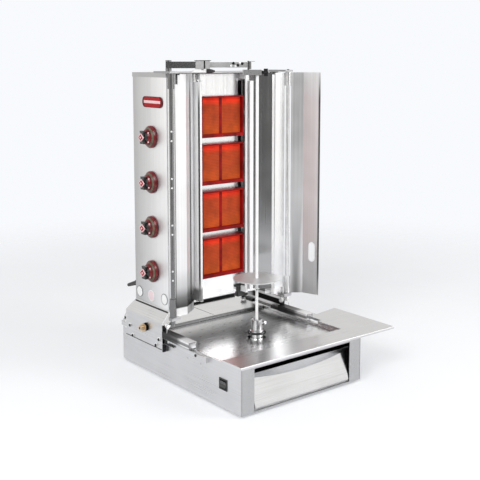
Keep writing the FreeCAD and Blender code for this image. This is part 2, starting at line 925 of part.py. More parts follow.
def meat_disc():
    body = new_body("meat_disc", (zero, size.spit_y, zero))
    profile = new_sketch(body, "XZ")
    bore = size.rod_radius + size.shaft_play
    sleeve = size.rod_radius * 2.4
    outline(profile, [
        (bore, size.disc_z - sleeve),
        (sleeve, size.disc_z - sleeve),
        (sleeve, size.disc_z),
        (size.disc_radius, size.disc_z),
        (size.disc_radius, size.disc_z + size.disc_thick),
        (bore, size.disc_z + size.disc_thick),
    ])
    revolve(body, profile, "V_Axis")
    return keep(body, "meat_disc")


# Tower: a C-shaped housing, open towards the meat, with holes for the gas valves on the left
def tower_housing():
    body = new_body("tower_housing")
    t = size.sheet
    lip = half_tower - size.front_flange
    inner = half_tower - t
    plan = new_sketch(body, "XY", size.tower_low)
    outline(plan, [
        (-lip, size.tower_front), (-half_tower, size.tower_front), (-half_tower, size.tower_back),
        (half_tower, size.tower_back), (half_tower, size.tower_front), (lip, size.tower_front),
        (lip, size.tower_front + t), (inner, size.tower_front + t), (inner, size.tower_back - t),
        (-inner, size.tower_back - t), (-inner, size.tower_front + t), (-lip, size.tower_front + t),
    ])
    pad(body, plan, size.tower_high - size.tower_low)
    hatch = new_sketch(body, "XZ", -size.tower_back + t)
    rectangle(hatch, between(zero, lip),
              (size.tower_low + size.hatch_margin, size.tower_high - size.hatch_margin))
    pocket(body, hatch, t * 2)
    valves = new_sketch(body, "YZ", -inner)
    for z in knob_rows:
        circle(valves, size.knob_y, z, size.knob_stem_radius + size.sheet)
    pocket(body, valves, t * 2)
    return keep(body, "tower_housing")


# Cap: a lid with a hem down the sides and the back
def top_cap():
    t = size.thin_sheet
    outer = block("cap_outer", between(zero, half_tower + t), (size.tower_front, size.tower_back + t),
                  (size.tower_high - size.cap_hem, size.tower_high + t))
    inner = block("cap_inner", between(zero, half_tower), (size.tower_front - t, size.tower_back),
                  (size.tower_high - size.cap_hem * 2, size.tower_high))
    return keep(cut("cap_shell", outer, inner), "top_cap")


def back_cover():
    body = new_body("back_cover")
    half = half_tower - size.front_flange + size.cover_lap
    plate = new_sketch(body, "XZ", -size.tower_back)
    rectangle(plate, between(zero, half),
              (size.tower_low + size.cover_low_gap, size.tower_high - size.cover_high_gap))
    pad(body, plate, size.thin_sheet, True)
    slots = new_sketch(body, "XZ", -size.tower_back)
    for side in (-1, 1):
        for row in range(10):
            z = size.burner_low + row * size.louvre_pitch
            rectangle(slots, between(side * half / 2, size.louvre_length / 2), (z, z + size.louvre_height))
    pocket(body, slots, size.sheet * 2)
    return keep(body, "back_cover")


# Front plate: a sheet folded to a shallow channel that the burners sit in, with a window for each
# gas chamber and an upright slot on both sides
def front_plate():
    body = new_body("front_plate")
    t = size.sheet
    half = half_tower - t
    side = size.channel_half
    top = size.tower_high - t
    plan = new_sketch(body, "XY", size.plate_low)
    outline(plan, [
        (-half, size.plate_y), (-side, size.plate_y), (-side, burner_seat), (side, burner_seat),
        (side, size.plate_y), (half, size.plate_y), (half, size.plate_y + t), (side + t, size.plate_y + t),
        (side + t, burner_seat + t), (-side - t, burner_seat + t), (-side - t, size.plate_y + t),
        (-half, size.plate_y + t),
    ])
    pad(body, plan, top - size.plate_low)
    windows = new_sketch(body, "XZ", -burner_seat)
    gap = size.running_gap
    for low in burner_rows:
        z = chamber_span(low)
        rectangle(windows, between(zero, chamber_half() + gap), (z[0] - gap, z[1] + gap))
    for x in ((-side + t, -size.channel_slot), (size.channel_slot, side - t)):
        rectangle(windows, x, (size.plate_low + size.channel_slot_end, top - size.channel_slot_end))
    pocket(body, windows, t * 2)
    return keep(body, "front_plate")


def chamber_half():
    return size.burner_width / 2 - size.chamber_step


def chamber_span(low):
    return (low + size.chamber_rise, low + size.burner_height - size.chamber_step)


# Burners: a cast frame, deep in front of its two tiles, and a narrower gas chamber behind
def burner_bodies():
    made = []
    inner = size.tile_seam / 2 + size.tile_width
    y = size.burner_front
    tile_y = y + size.tile_sunk
    for low in burner_rows:
        face = block("burner_face", between(zero, size.burner_width / 2), (y, burner_seat),
                     (low, low + size.burner_height))
        chamber = block("burner_chamber", between(zero, chamber_half()), (burner_seat, y + size.burner_depth),
                        chamber_span(low))
        solid = fuse("burner_solid", [face, chamber])
        z = (low + size.tile_lift, low + size.tile_lift + size.tile_height)
        pits = [block("face_pit", between(zero, inner), (y - size.sheet, tile_y), z)]
        for side in (-1, 1):
            edges = sorted((side * size.tile_seam / 2, side * inner), key=number_of)
            pits.append(block("tile_pit", edges, (y, tile_y + size.tile_thick), z))
        made.append(cut("burner_body", solid, fuse("tile_pits", pits)))
    return keep(group("burner_group", made), "burner_bodies")


def ceramic_tiles():
    made = []
    inner = size.tile_seam / 2
    play = size.shaft_play
    y = size.burner_front + size.tile_sunk
    for low in burner_rows:
        z = low + size.tile_lift
        for side in (-1, 1):
            edges = sorted((side * (inner + play), side * (inner + size.tile_width - play)), key=number_of)
            made.append(block("tile", edges, (y, y + size.tile_thick), (z + play, z + size.tile_height - play)))
    return keep(group("tile_group", made), "ceramic_tiles")


# Bright angle strips on both sides of the burners, standing on the front plate
def burner_side_bars():
    made = []
    t = size.thin_sheet
    out = reflector_line()[3] - size.running_gap
    for side, name in ((-1, "left_bar"), (1, "right_bar")):
        body = new_body(name)
        plan = new_sketch(body, "XY", size.side_bar_low)
        y = size.side_bar_front
        corners = [(size.side_bar_in, y), (out, y), (out, size.plate_y), (out - t, size.plate_y),
                   (out - t, y + t), (size.side_bar_in, y + t)]
        outline(plan, [(side * x, depth) for x, depth in corners])
        pad(body, plan, size.side_bar_high - size.side_bar_low)
        made.append(body)
    return keep(group("bar_group", made), "burner_side_bars")


# Round rods beside the burners, each held by a foot and a head block in the channel of the front plate
def side_rods():
    made = []
    r = size.side_rod_radius
    for side in (-1, 1):
        x = side * size.side_rod_x
        made.append(cylinder("side_rod", (x, size.side_rod_y, size.side_rod_low), "z", r,
                             size.side_rod_high - size.side_rod_low))
        for low in (size.side_rod_low - size.rod_block, size.side_rod_high):
            made.append(block("rod_block", between(x, r), (size.side_rod_y - r, burner_seat),
                              (low, low + size.rod_block)))
    return keep(group("side_rod_group", made), "side_rods")


# The reflector's front plane, its mitre factor, where it bends and where its slanting part meets the
# front plate
def reflector_line():
    face_y = size.hinge_y + size.wing_gap
    mitre = (1 - cosine(size.wing_bend)) / sine(size.wing_bend)
    bend_x = hinge_x - size.wing_first + size.wing_gap * mitre
    end_x = bend_x - (size.plate_y - face_y) / tangent(size.wing_bend)
    return face_y, mitre, bend_x, end_x


# Reflector column: from the flange of the housing forward, across, and slanting back to the plate.
# It runs behind the folded wing, a small gap away and parallel to it.
def reflector(side, name):
    body = new_body(name)
    t = size.thin_sheet
    face_y, mitre, bend_x, end_x = reflector_line()
    outer_x = half_tower - size.sheet
    corners = [
        (outer_x, size.tower_front), (outer_x, face_y), (bend_x, face_y), (end_x, size.plate_y),
        (end_x + t / sine(size.wing_bend), size.plate_y), (bend_x + t * mitre, face_y + t),
        (outer_x - t, face_y + t), (outer_x - t, size.tower_front),
    ]
    plan = new_sketch(body, "XY", size.reflector_low)
    outline(plan, [(side * x, y) for x, y in corners])
    pad(body, plan, size.tower_high - size.sheet - size.reflector_low)
    return keep(body, name)


# Gas train: valves behind the knobs, a manifold, branches to the burners and the inlet nipple
def gas_valves():
    made = []
    start = -half_tower + size.sheet
    for z in knob_rows:
        shell = cylinder("valve_shell", (start, size.knob_y, z), "x", size.valve_radius, size.valve_length)
        bore = cylinder("valve_bore", (start - size.sheet / 2, size.knob_y, z), "x",
                        size.knob_stem_radius + size.shaft_play, size.stem_depth + size.sheet * 2)
        made.append(cut("valve", shell, bore))
    return keep(group("valve_group", made), "gas_valves")


def gas_pipes():
    pieces = []
    x = -size.manifold_x
    y = size.manifold_y
    top = knob_rows[3]
    pieces.append(cylinder("manifold", (x, y, size.inlet_z), "z", size.pipe_radius, top - size.inlet_z))
    pieces.append(ball("manifold_end", (x, y, top), size.pipe_radius))
    pieces.append(ball("manifold_elbow", (x, y, size.inlet_z), size.pipe_radius))
    pieces.append(cylinder("feed_back", (x, size.inlet_y, size.inlet_z), "y", size.pipe_radius,
                           y - size.inlet_y))
    pieces.append(ball("feed_elbow", (x, size.inlet_y, size.inlet_z), size.pipe_radius))
    pieces.append(cylinder("feed", (-skirt_x, size.inlet_y, size.inlet_z), "x", size.pipe_radius,
                           skirt_x - size.manifold_x))
    manifold = fuse("manifold_pipe", pieces)
    made = []
    seat = size.knob_y + size.valve_radius
    valve_end = -half_tower + size.sheet + size.valve_length
    burner_back = size.burner_front + size.burner_depth
    for z in knob_rows:
        made.append(cylinder("stub", (x, seat, z), "y", size.branch_radius, y - size.pipe_radius * 0.5 - seat))
        run = cylinder("branch", (valve_end, size.knob_y, z), "x", size.branch_radius, -size.branch_x - valve_end)
        bend = ball("branch_elbow", (-size.branch_x, size.knob_y, z), size.branch_radius)
        drop = cylinder("branch_drop", (-size.branch_x, burner_back, z), "y", size.branch_radius,
                        size.knob_y - burner_back)
        made.append(fuse("branch_pipe", [run, bend, drop]))
    stubs = fuse("manifold_with_stubs", [manifold] + made[0::2])
    return keep(group("pipe_group", [stubs] + made[1::2]), "gas_pipes")


def gas_inlet():
    start = -skirt_x - size.sheet - size.inlet_length
    spot = (start, size.inlet_y, size.inlet_z)
    nipple = cylinder("inlet_nipple", spot, "x", size.inlet_radius * 0.55, size.inlet_length)
    nut_start = -skirt_x - size.sheet - size.inlet_length / 2
    nut = doc.addObject("Part::Prism", "inlet_nut")
    nut.Polygon = 6
    bind(nut, "Circumradius", size.inlet_radius)
    bind(nut, "Height", size.inlet_length / 2)
    nut.Placement = Placement(Vector(), TURNS["x"])
    for letter, amount in zip("xyz", (nut_start, size.inlet_y, size.inlet_z)):
        bind(nut, f"Placement.Base.{letter}", amount)
    bore = cylinder("inlet_bore", (start - size.sheet, size.inlet_y, size.inlet_z), "x", size.inlet_radius * 0.3,
                    size.inlet_length * 0.7)
    return keep(cut("inlet_body", fuse("inlet_solid", [nipple, nut]), bore), "gas_inlet")


# Carriage: skirts that flare from the tower and straddle the base, with a slanting upper back corner,
# sled arms, glides and screws
def side_skirts():
    made = []
    t = size.sheet
    for side, name in ((-1, "left_skirt"), (1, "right_skirt")):
        body = new_body(name)
        section = new_sketch(body, "XZ", -size.skirt_back)
        flare_low = size.skirt_crease
        flare_high = size.tower_low + size.skirt_lap
        corners = [(half_tower, flare_high + t * 1.5), (half_tower, flare_high), (skirt_x, flare_low),
                   (skirt_x, size.skirt_low), (skirt_x + t, size.skirt_low),
                   (skirt_x + t, flare_low + t / 3)]
        outline(section, [(side * x, z) for x, z in corners])
        pad(body, section, size.skirt_back - size.skirt_front)
        corner = new_sketch(body, "YZ")
        top = flare_high + t * 2
        outline(corner, [(size.tower_back, top), (size.skirt_back + t, flare_low), (size.skirt_back + t, top)])
        pocket(body, corner, skirt_x + t * 2, side > 0)
        made.append(body)
    return keep(group("skirt_group", made), "side_skirts")


def sled_arms():
    made = []
    t = size.sheet
    for side, name in ((-1, "left_sled"), (1, "right_sled")):
        body = new_body(name)
        section = new_sketch(body, "XZ", -size.skirt_front)
        corners = [
            (sled_inner_x, size.sled_low), (sled_inner_x + t, size.sled_low),
            (sled_inner_x + t, size.sled_high - t), (sled_outer_x - t, size.sled_high - t),
            (sled_outer_x - t, size.sled_low), (sled_outer_x, size.sled_low),
            (sled_outer_x, size.sled_high), (sled_inner_x, size.sled_high),
        ]
        outline(section, [(side * x, z) for x, z in corners])
        pad(body, section, size.skirt_front - size.sled_front)
        made.append(body)
    return keep(group("sled_group", made), "sled_arms")


# Front skirts: plates below the reflectors with an arched lower edge out to the sled arms
def front_skirt():
    made = []
    low = size.sled_high + size.running_gap
    for side, name in ((-1, "left_front_skirt"), (1, "right_front_skirt")):
        body = new_body(name)
        plate = new_sketch(body, "XZ", -size.front_skirt_y)
        corners = [
            (half_tower - size.sheet, size.reflector_low), (size.front_skirt_in, size.reflector_low),
            (size.front_skirt_in, size.tower_low + size.arch_rise),
            (hinge_x - size.arch_first_in, size.tower_low - size.arch_first_drop),
            (hinge_x - size.arch_second_in, size.tower_low - size.arch_second_drop),
            (skirt_x, size.skirt_crease - size.arch_end_drop),
            (skirt_x + size.sheet, low), (sled_outer_x, low), (sled_outer_x, size.skirt_crease),
            (hinge_x - size.knuckle_radius - size.sheet / 2, size.tower_low),
        ]
        outline(plate, [(side * x, z) for x, z in corners])
        pad(body, plate, size.thin_sheet, True)
        made.append(body)
    return keep(group("front_skirt_group", made), "front_skirt")


# Glides: plastic blocks inside the skirts that grip the rails from above, outside and below
def glide_blocks():
    made = []
    gap = size.running_gap
    for side, name in ((-1, "left_glides"), (1, "right_glides")):
        last = size.skirt_back - size.glide_inset - size.glide_length
        for at in (size.skirt_front + size.glide_inset, last):
            body = new_body(name)
            section = new_sketch(body, "XZ", -at)
            inner = half_base + size.sheet
            web = half_base + size.rail_out + gap
            low = size.rail_low - size.glide_lip
            high = size.rail_high + size.glide_lip
            corners = [
                (inner, low), (skirt_x, low), (skirt_x, high), (inner, high),
                (inner, size.rail_high + gap), (web, size.rail_high + gap),
                (web, size.rail_low - gap), (inner, size.rail_low - gap),
            ]
            outline(section, [(side * x, z) for x, z in corners])
            pad(body, section, size.glide_length, True)
            made.append(body)
    return keep(group("glide_group", made), "glide_blocks")


def bracket_screws():
    made = []
    spots = [
        (size.screw_rear_y, size.screw_rear_z), (size.screw_rear_low_y, size.screw_low_z),
        (size.screw_front_y, size.screw_front_z), (size.screw_front_low_y, size.screw_low_z),
    ]
    for side in (-1, 1):
        for from_back, up in spots:
            y = size.skirt_back - from_back
            z = size.skirt_low + up
            start = side * (skirt_x + size.sheet)
            x = start if side > 0 else start - size.screw_head
            made.append(cylinder("screw", (x, y, z), "x", size.screw_radius, size.screw_head))
    return keep(group("screw_group", made), "bracket_screws")


# Hinge rods on both front corners of the tower, held by a bracket above and below the wings
def hinge_rods():
    made = []
    top = size.tower_high + size.thin_sheet + size.rod_bracket_thick
    for side in (-1, 1):
        made.append(cylinder("hinge_rod", (side * hinge_x, size.hinge_y, size.hinge_low), "z",
                             size.hinge_radius, top - size.hinge_low))
    return keep(group("hinge_rod_group", made), "hinge_rods")


def rod_brackets():
    made = []
    reach = size.rod_bracket_out
    top = size.tower_high + size.thin_sheet
    low = size.wing_low - size.running_gap - size.lower_bracket
    for side in (-1, 1):
        x = sorted((side * (half_tower - reach), side * (hinge_x + reach)), key=number_of)
        upper = block("upper_bracket", x, (size.hinge_y - reach, size.tower_front + size.rod_bracket_back),
                      (top, top + size.rod_bracket_thick))
        lower = block("lower_bracket", x, (size.hinge_y - reach, size.front_skirt_y),
                      (low, low + size.lower_bracket))
        for plate in (upper, lower):
            bore = cylinder("rod_bore", (side * hinge_x, size.hinge_y, size.hinge_low), "z",
                            size.hinge_radius + size.shaft_play, size.tower_high)
            made.append(cut("rod_bracket", plate, bore))
    return keep(group("rod_bracket_group", made), "rod_brackets")


# Wing: a bent sheet that starts at the knuckles on the hinge rod. In the photographed state the
# left one is folded in over its reflector and the right one is swung out.
def wing(side, name):
    turn = 0.0 if side < 0 else size.wing_open - 180.0
    body = new_body(name, (side * hinge_x, size.hinge_y, zero), turn)
    half = size.thin_sheet / 2
    bend = size.wing_bend
    mitre = half * sine(bend) / (1 + cosine(bend))
    end_x = size.wing_first + size.wing_second * cosine(bend)
    end_y = size.wing_second * sine(bend)
    off_x = half * sine(bend)
    off_y = half * cosine(bend)
    corners = [
        (size.knuckle_radius, -half), (size.wing_first + mitre, -half), (end_x + off_x, end_y - off_y),
        (end_x - off_x, end_y + off_y), (size.wing_first - mitre, half), (size.knuckle_radius, half),
    ]
    plan = new_sketch(body, "XY", size.wing_low)
    outline(plan, [(x, -side * y) for x, y in corners])
    pad(body, plan, size.wing_high - size.wing_low)
    if side > 0:
        slot = new_sketch(body, "XZ")
        slot.AttachmentOffset = Placement(Vector(), Rotation(Vector(0, 1, 0), 1))
        bind(slot, "AttachmentOffset.Base.x", size.wing_first)
        bind(slot, "AttachmentOffset.Base.z", size.sheet)
        bind(slot, "AttachmentOffset.Rotation.Angle", -bend)
        slot_shape(slot, size.grip_slot_at, size.grip_slot_width / 2, size.grip_slot_low, size.grip_slot_high)
        pocket(body, slot, size.sheet * 2)
    return keep(body, name)


# An upright oblong with round ends
def slot_shape(drawn, middle, radius, low, high):
    m = number_of(middle)
    r = number_of(radius)
    z = (number_of(low) + r, number_of(high) - r)
    up = Vector(0, 0, 1)
    drawn.addGeometry([
        Part.ArcOfCircle(Part.Circle(Vector(m, z[0], 0), up, r), math.pi, 2 * math.pi),
        Part.LineSegment(Vector(m + r, z[0], 0), Vector(m + r, z[1], 0)),
        Part.ArcOfCircle(Part.Circle(Vector(m, z[1], 0), up, r), 0, math.pi),
        Part.LineSegment(Vector(m - r, z[1], 0), Vector(m - r, z[0], 0)),
    ])
    drawn.addConstraint([
        Sketcher.Constraint("Tangent", 0, 2, 1, 1),
        Sketcher.Constraint("Tangent", 1, 2, 2, 1),
        Sketcher.Constraint("Tangent", 2, 2, 3, 1),
        Sketcher.Constraint("Tangent", 3, 2, 0, 1),
        Sketcher.Constraint("Vertical", 1),
    ])
    rule = drawn.addConstraint(Sketcher.Constraint("Radius", 0, r))
    drawn.setExpression(f"Constraints[{rule}]", text_of(radius))
    tie_points(drawn, [("DistanceX", 0, 3, middle), ("DistanceY", 0, 3, low + radius),
                       ("DistanceY", 2, 3, high - radius)])


def wing_knuckles(side, name):
    made = []
    x = side * hinge_x
    spans = [(size.wing_low, size.knuckle_low_top), (size.knuckle_high_low, size.wing_high)]
    for low, high in spans:
        sleeve = cylinder("knuckle_sleeve", (x, size.hinge_y, low), "z", size.knuckle_radius, high - low)
        bore = cylinder("knuckle_bore", (x, size.hinge_y, low - size.sheet), "z",
                        size.hinge_radius + size.shaft_play, high - low + size.sheet * 2)
        made.append(cut("knuckle", sleeve, bore))
    return keep(group(name + "_group", made), name)


# Knobs: a round skirt with a groove round its face, and a grip with an upright bar and a square
# pointer, whose stem turns in the valve
def knob(number, z):
    face = -half_tower - size.running_gap
    depth = size.knob_skirt_depth
    r = size.knob_skirt_radius
    skirt = new_body(f"knob_skirt_{number}", (zero, size.knob_y, z))
    profile = new_sketch(skirt, "XZ")
    bore = size.knob_stem_radius + size.shaft_play
    outline(profile, [
        (face, bore), (face, r), (face - depth * 0.6, r), (face - depth * 0.75, r * 0.93),
        (face - depth * 0.5, r * 0.86), (face - depth * 0.5, r * 0.76), (face - depth, r * 0.7),
        (face - depth, bore),
    ])
    revolve(skirt, profile, "H_Axis")
    keep(skirt, f"knob_skirt_{number}")

    grip = new_body(f"knob_grip_{number}", (zero, size.knob_y, z))
    hub = new_sketch(grip, "XZ")
    end = face - size.knob_grip_end
    bar_end = end + size.knob_pointer
    hub_end = bar_end + size.knob_pointer
    g = size.knob_grip_radius
    outline(hub, [(face - depth, zero), (face - depth, g * 0.95), (hub_end, g * 0.75), (hub_end, zero)])
    revolve(grip, hub, "H_Axis")
    half = g * 0.35
    bar = new_sketch(grip, "XZ", -half)
    outline(bar, [(face - depth, -g), (face - depth, g), (bar_end, g * 0.9), (bar_end, -g * 0.9)])
    pad(grip, bar, half * 2)
    pointer = new_sketch(grip, "YZ", bar_end)
    outline(pointer, [(-g * 0.6, zero), (zero, -g * 0.6), (g * 0.6, zero), (zero, g * 0.6)])
    pad(grip, pointer, size.knob_pointer, True)
    stem = new_sketch(grip, "YZ", face - depth)
    circle(stem, zero, zero, size.knob_stem_radius)
    pad(grip, stem, depth + size.running_gap + size.sheet + size.stem_depth)
    keep(grip, f"knob_grip_{number}")


# Top arm: a square tube that swings on a post, a clamp with a screw knob round its end, and an inner
# tube that slides and carries the bearing for the top of the spit
def arm_reach():
    run_x = arm_post_x
    run_y = size.arm_post_y - size.spit_y
    return square_root(run_x * run_x + run_y * run_y)


def arm_angle():
    run_x = arm_post_x
    run_y = size.arm_post_y - size.spit_y
    ratio = run_y / run_x
    return Size(-math.degrees(math.atan(ratio.number)), f"(-1 * atan({ratio.text}))")


def arm_body(name):
    return new_body(name, (-arm_post_x, size.arm_post_y, zero), arm_angle())


def arm_post():
    low = size.tower_high + size.thin_sheet + size.rod_bracket_thick
    top = size.arm_low + size.arm_square
    spot = (-arm_post_x, size.arm_post_y)
    seat = size.arm_low - size.running_gap
    foot = cylinder("post_foot", (*spot, low), "z", size.arm_post_radius * 1.6, seat - low)
    pin = cylinder("post_pin", (*spot, seat), "z", size.arm_post_radius, top + size.running_gap - seat)
    head = cylinder("post_head", (*spot, top + size.running_gap), "z", size.arm_post_radius * 1.6,
                    size.sheet * 2)
    return keep(fuse("post_solid", [foot, pin, head]), "arm_post")


def square_tube(name, start, end, half, wall):
    body = arm_body(name)
    middle = size.arm_low + size.arm_square / 2
    section = new_sketch(body, "YZ", start)
    rectangle(section, between(zero, half), between(middle, half))
    rectangle(section, between(zero, half - wall), between(middle, half - wall))
    pad(body, section, end - start)
    return body


def arm_tube():
    body = square_tube("arm_tube", -size.arm_tail, size.arm_length, size.arm_square / 2, size.arm_wall)
    bore = new_sketch(body, "XY", size.arm_low + size.arm_square)
    circle(bore, zero, zero, size.arm_post_radius + size.shaft_play)
    pocket(body, bore, size.arm_square)
    return keep(body, "arm_tube")


def arm_clamp():
    half = size.arm_square / 2
    body = square_tube("arm_clamp", size.clamp_start, size.arm_length, half + size.clamp_wall, size.clamp_wall)
    middle = (size.clamp_start + size.arm_length) / 2
    low = size.arm_low - size.clamp_wall
    screw = new_sketch(body, "XY", low)
    circle(screw, middle, zero, size.screw_radius)
    pad(body, screw, size.screw_radius, True)
    knob_disc = new_sketch(body, "XY", low - size.screw_radius)
    circle(knob_disc, middle, zero, size.clamp_knob_radius)
    pad(body, knob_disc, size.clamp_knob_height, True)
    return keep(body, "arm_clamp")


def slider_half():
    return size.arm_square / 2 - size.arm_wall - size.running_gap


def slider_tube():
    return keep(square_tube("slider_tube", size.slider_start, size.slider_end, slider_half(), size.arm_wall),
                "slider_tube")


def bearing_block():
    body = arm_body("bearing_block")
    reach = arm_reach()
    half = size.bearing_half
    plate = new_sketch(body, "YZ", size.slider_end)
    rectangle(plate, between(zero, half), (size.bearing_low, size.bearing_plate_top))
    pad(body, plate, size.clamp_wall)
    slab = new_sketch(body, "XY", size.bearing_low)
    rectangle(slab, (reach - size.bearing_lap, reach + size.bearing_out), between(zero, half))
    pad(body, slab, size.bearing_high - size.bearing_low)
    bore = new_sketch(body, "XY", size.bearing_low)
    circle(bore, reach, zero, size.bearing_bore)
    pocket(body, bore, size.spigot_high - size.bearing_low + size.sheet, True)
    middle = (size.bearing_low + size.bearing_high) / 2
    screw = new_sketch(body, "YZ", reach + size.bearing_out)
    circle(screw, zero, middle, size.clamp_wall)
    pad(body, screw, size.nut_reach * 0.5)
    nut = new_sketch(body, "YZ", reach + size.bearing_out + size.nut_reach * 0.4)
    rectangle(nut, between(zero, size.clamp_wall * 0.6), between(middle, half * 0.8))
    pad(body, nut, size.nut_reach * 0.6)
    return keep(body, "bearing_block")


# Black pull handle across the back of the carriage: two slanting stems on round feet, and the bar
def rear_handle():
    r = size.handle_radius
    x = half_tower - size.handle_inset
    start = size.tower_back + r / 2
    run = size.handle_back - start
    drop = size.handle_high - size.handle_low
    slope = drop / run
    pieces = []
    for side in (-1, 1):
        pieces.append(cylinder("handle_foot", (side * x, size.tower_back, size.handle_high), "y", r * 1.6, r))
        stem = cylinder("handle_stem", (side * x, start, size.handle_high), "z", r,
                        square_root(run * run + drop * drop))
        stem.Placement = Placement(stem.Placement.Base, Rotation(Vector(-1, 0, 0), 90))
        stem.setExpression("Placement.Rotation.Angle", f"90 deg + atan({slope.text})")
        pieces.append(stem)
        pieces.append(ball("handle_corner", (side * x, size.handle_back, size.handle_low), r))
    pieces.append(cylinder("handle_bar", (-x, size.handle_back, size.handle_low), "x", r, x * 2))
    return keep(fuse("handle_solid", pieces), "rear_handle")


base_housing()
base_floor()
feet()
rear_deck()
drip_pan()
perforated_plate()
shelf_plate()
side_rails()
motor_bracket()
motor_gearbox()
pan_collar()
lower_bearing()
switch_bezel()
switch_rocker()
drawer_guides()
drawer_tray()
drawer_front()
cable_gland()
drive_shaft()
drive_hub()
spit_rod()
meat_disc()
tower_housing()
top_cap()
back_cover()
front_plate()
burner_bodies()
ceramic_tiles()
burner_side_bars()
side_rods()
reflector(-1, "reflector_left")
reflector(1, "reflector_right")
gas_valves()
gas_pipes()
gas_inlet()
side_skirts()
sled_arms()
front_skirt()
glide_blocks()
bracket_screws()
hinge_rods()
rod_brackets()
wing(-1, "wing_left")
wing(1, "wing_right")
wing_knuckles(-1, "wing_knuckles_left")
wing_knuckles(1, "wing_knuckles_right")
for number, z in enumerate(knob_rows, start=1):
    knob(number, z)
arm_post()
arm_tube()
arm_clamp()
slider_tube()
bearing_block()
rear_handle()

doc.recompute()
for thing in doc.Objects:
    if "Invalid" in thing.State or "Error" in thing.State:
        raise ValueError(f"{thing.Name} did not build: {thing.State}")
for part in parts:
    if part.Shape.isNull() or not part.Shape.isValid() or not part.Shape.Solids:
        raise ValueError(f"{part.Label} has no valid shape")

os.makedirs("parts", exist_ok=True)
for part in parts:
    part.Shape.exportStep(f"parts/{part.Label}.step")
print(len(parts), "sub-parts written")
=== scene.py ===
# Doner kebab grill: its looks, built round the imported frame. Metres, +Z up, the front faces -Y.

import bpy
import bmesh
import math
from mathutils import Matrix, Vector


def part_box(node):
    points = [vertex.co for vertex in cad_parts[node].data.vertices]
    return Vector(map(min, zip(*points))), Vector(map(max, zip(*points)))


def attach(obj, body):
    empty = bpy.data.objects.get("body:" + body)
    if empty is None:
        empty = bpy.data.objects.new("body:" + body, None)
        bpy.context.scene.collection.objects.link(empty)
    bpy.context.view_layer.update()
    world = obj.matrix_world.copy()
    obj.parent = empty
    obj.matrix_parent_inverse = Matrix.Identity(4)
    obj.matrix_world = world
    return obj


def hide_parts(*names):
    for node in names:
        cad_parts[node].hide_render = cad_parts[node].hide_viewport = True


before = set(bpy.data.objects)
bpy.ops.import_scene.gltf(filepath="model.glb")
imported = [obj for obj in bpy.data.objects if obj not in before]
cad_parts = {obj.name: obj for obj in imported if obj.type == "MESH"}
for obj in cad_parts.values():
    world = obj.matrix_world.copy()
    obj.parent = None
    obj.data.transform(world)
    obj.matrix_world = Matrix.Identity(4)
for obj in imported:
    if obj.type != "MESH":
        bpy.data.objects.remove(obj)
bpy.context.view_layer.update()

print("frame loaded:", len(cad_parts), "nodes")


# colours are sRGB hex values, turned linear here
def colour(hexValue):
    parts = [int(hexValue[i:i + 2], 16) / 255 for i in (1, 3, 5)]
    linear = [p / 12.92 if p <= 0.04045 else ((p + 0.055) / 1.055) ** 2.4 for p in parts]
    return (*linear, 1.0)


# adds a node: plain values are set, and another node's output is linked
def addNode(tree, kind, settings=None, inputs=None):
    node = tree.nodes.new("ShaderNode" + kind)
    for name, value in (settings or {}).items():
        setattr(node, name, value)
    for name, value in (inputs or {}).items():
        if isinstance(value, bpy.types.NodeSocket):
            tree.links.new(value, node.inputs[name])
        else:
            node.inputs[name].default_value = value
    return node


# puts stops on a colour ramp; a stop is (place, colour)
def setStops(ramp, stops, blend="LINEAR"):
    ramp.color_ramp.interpolation = blend
    elements = ramp.color_ramp.elements
    while len(elements) < len(stops):
        elements.new(0.5)
    for element, (place, value) in zip(elements, stops):
        element.position = place
        element.color = value if len(value) == 4 else (*value, 1.0)
    return ramp.outputs["Color"]


def grey(level):
    return (level, level, level, 1.0)


# Camera
cameraLook = {
    "place": (-1.8127, -2.3019, 1.0693),
    "azimuth": 38.378,      # degrees to the right of +Y
    "pitch": 7.228,         # degrees below the horizon
    "lensMm": 66.6,
    "shiftY": -0.15,
}
cameraData = bpy.data.cameras.new("camera")
cameraData.lens = cameraLook["lensMm"]
cameraData.shift_y = cameraLook["shiftY"]
cameraData.clip_end = 50
camera = bpy.data.objects.new("camera", cameraData)
camera.location = cameraLook["place"]
camera.rotation_euler = (math.radians(90 - cameraLook["pitch"]), 0, math.radians(-cameraLook["azimuth"]))
bpy.context.scene.collection.objects.link(camera)
bpy.context.scene.camera = camera
bpy.context.scene.view_settings.view_transform = "Standard"


# Studio: a white backdrop, pale walls with darker cards that the steel reflects, and two soft lamps
studio = {
    "backdrop": "#F8FAFD",
    "softLight": 0.62,       # level of the light on matt surfaces
    # what polished sheet sees all round: degrees from +Y towards +X, level
    "cards": [(-180, 1.05), (-168, 0.70), (-158, 0.30), (-147, 0.20), (-136, 0.30), (-120, 0.70), (-95, 0.95),
              (-72, 0.95), (-45, 1.30), (-36, 1.25), (-30, 0.85), (-10, 0.80), (38, 0.85), (69, 0.95),
              (100, 1.05), (125, 1.30), (146, 1.35), (165, 1.20), (180, 1.05)],
    # how that level changes from straight down to straight up
    "heights": [(-90, 0.8), (0, 1.0), (25, 1.1), (55, 0.75), (90, 0.6)],
}
world = bpy.data.worlds.new("studio")
bpy.context.scene.world = world
world.use_nodes = True
tree = world.node_tree
tree.nodes.clear()
rays = addNode(tree, "LightPath")
direction = addNode(tree, "TexCoord").outputs["Generated"]
axes = addNode(tree, "SeparateXYZ", inputs={0: direction})
azimuth = addNode(tree, "Math", {"operation": "ARCTAN2"}, {0: axes.outputs["X"], 1: axes.outputs["Y"]})
azimuth = addNode(tree, "MapRange", inputs={0: azimuth.outputs[0], 1: -math.pi, 2: math.pi})
around = addNode(tree, "ValToRGB", inputs={0: azimuth.outputs[0]})
around = setStops(around, [((a + 180) / 360, grey(v)) for a, v in studio["cards"]])
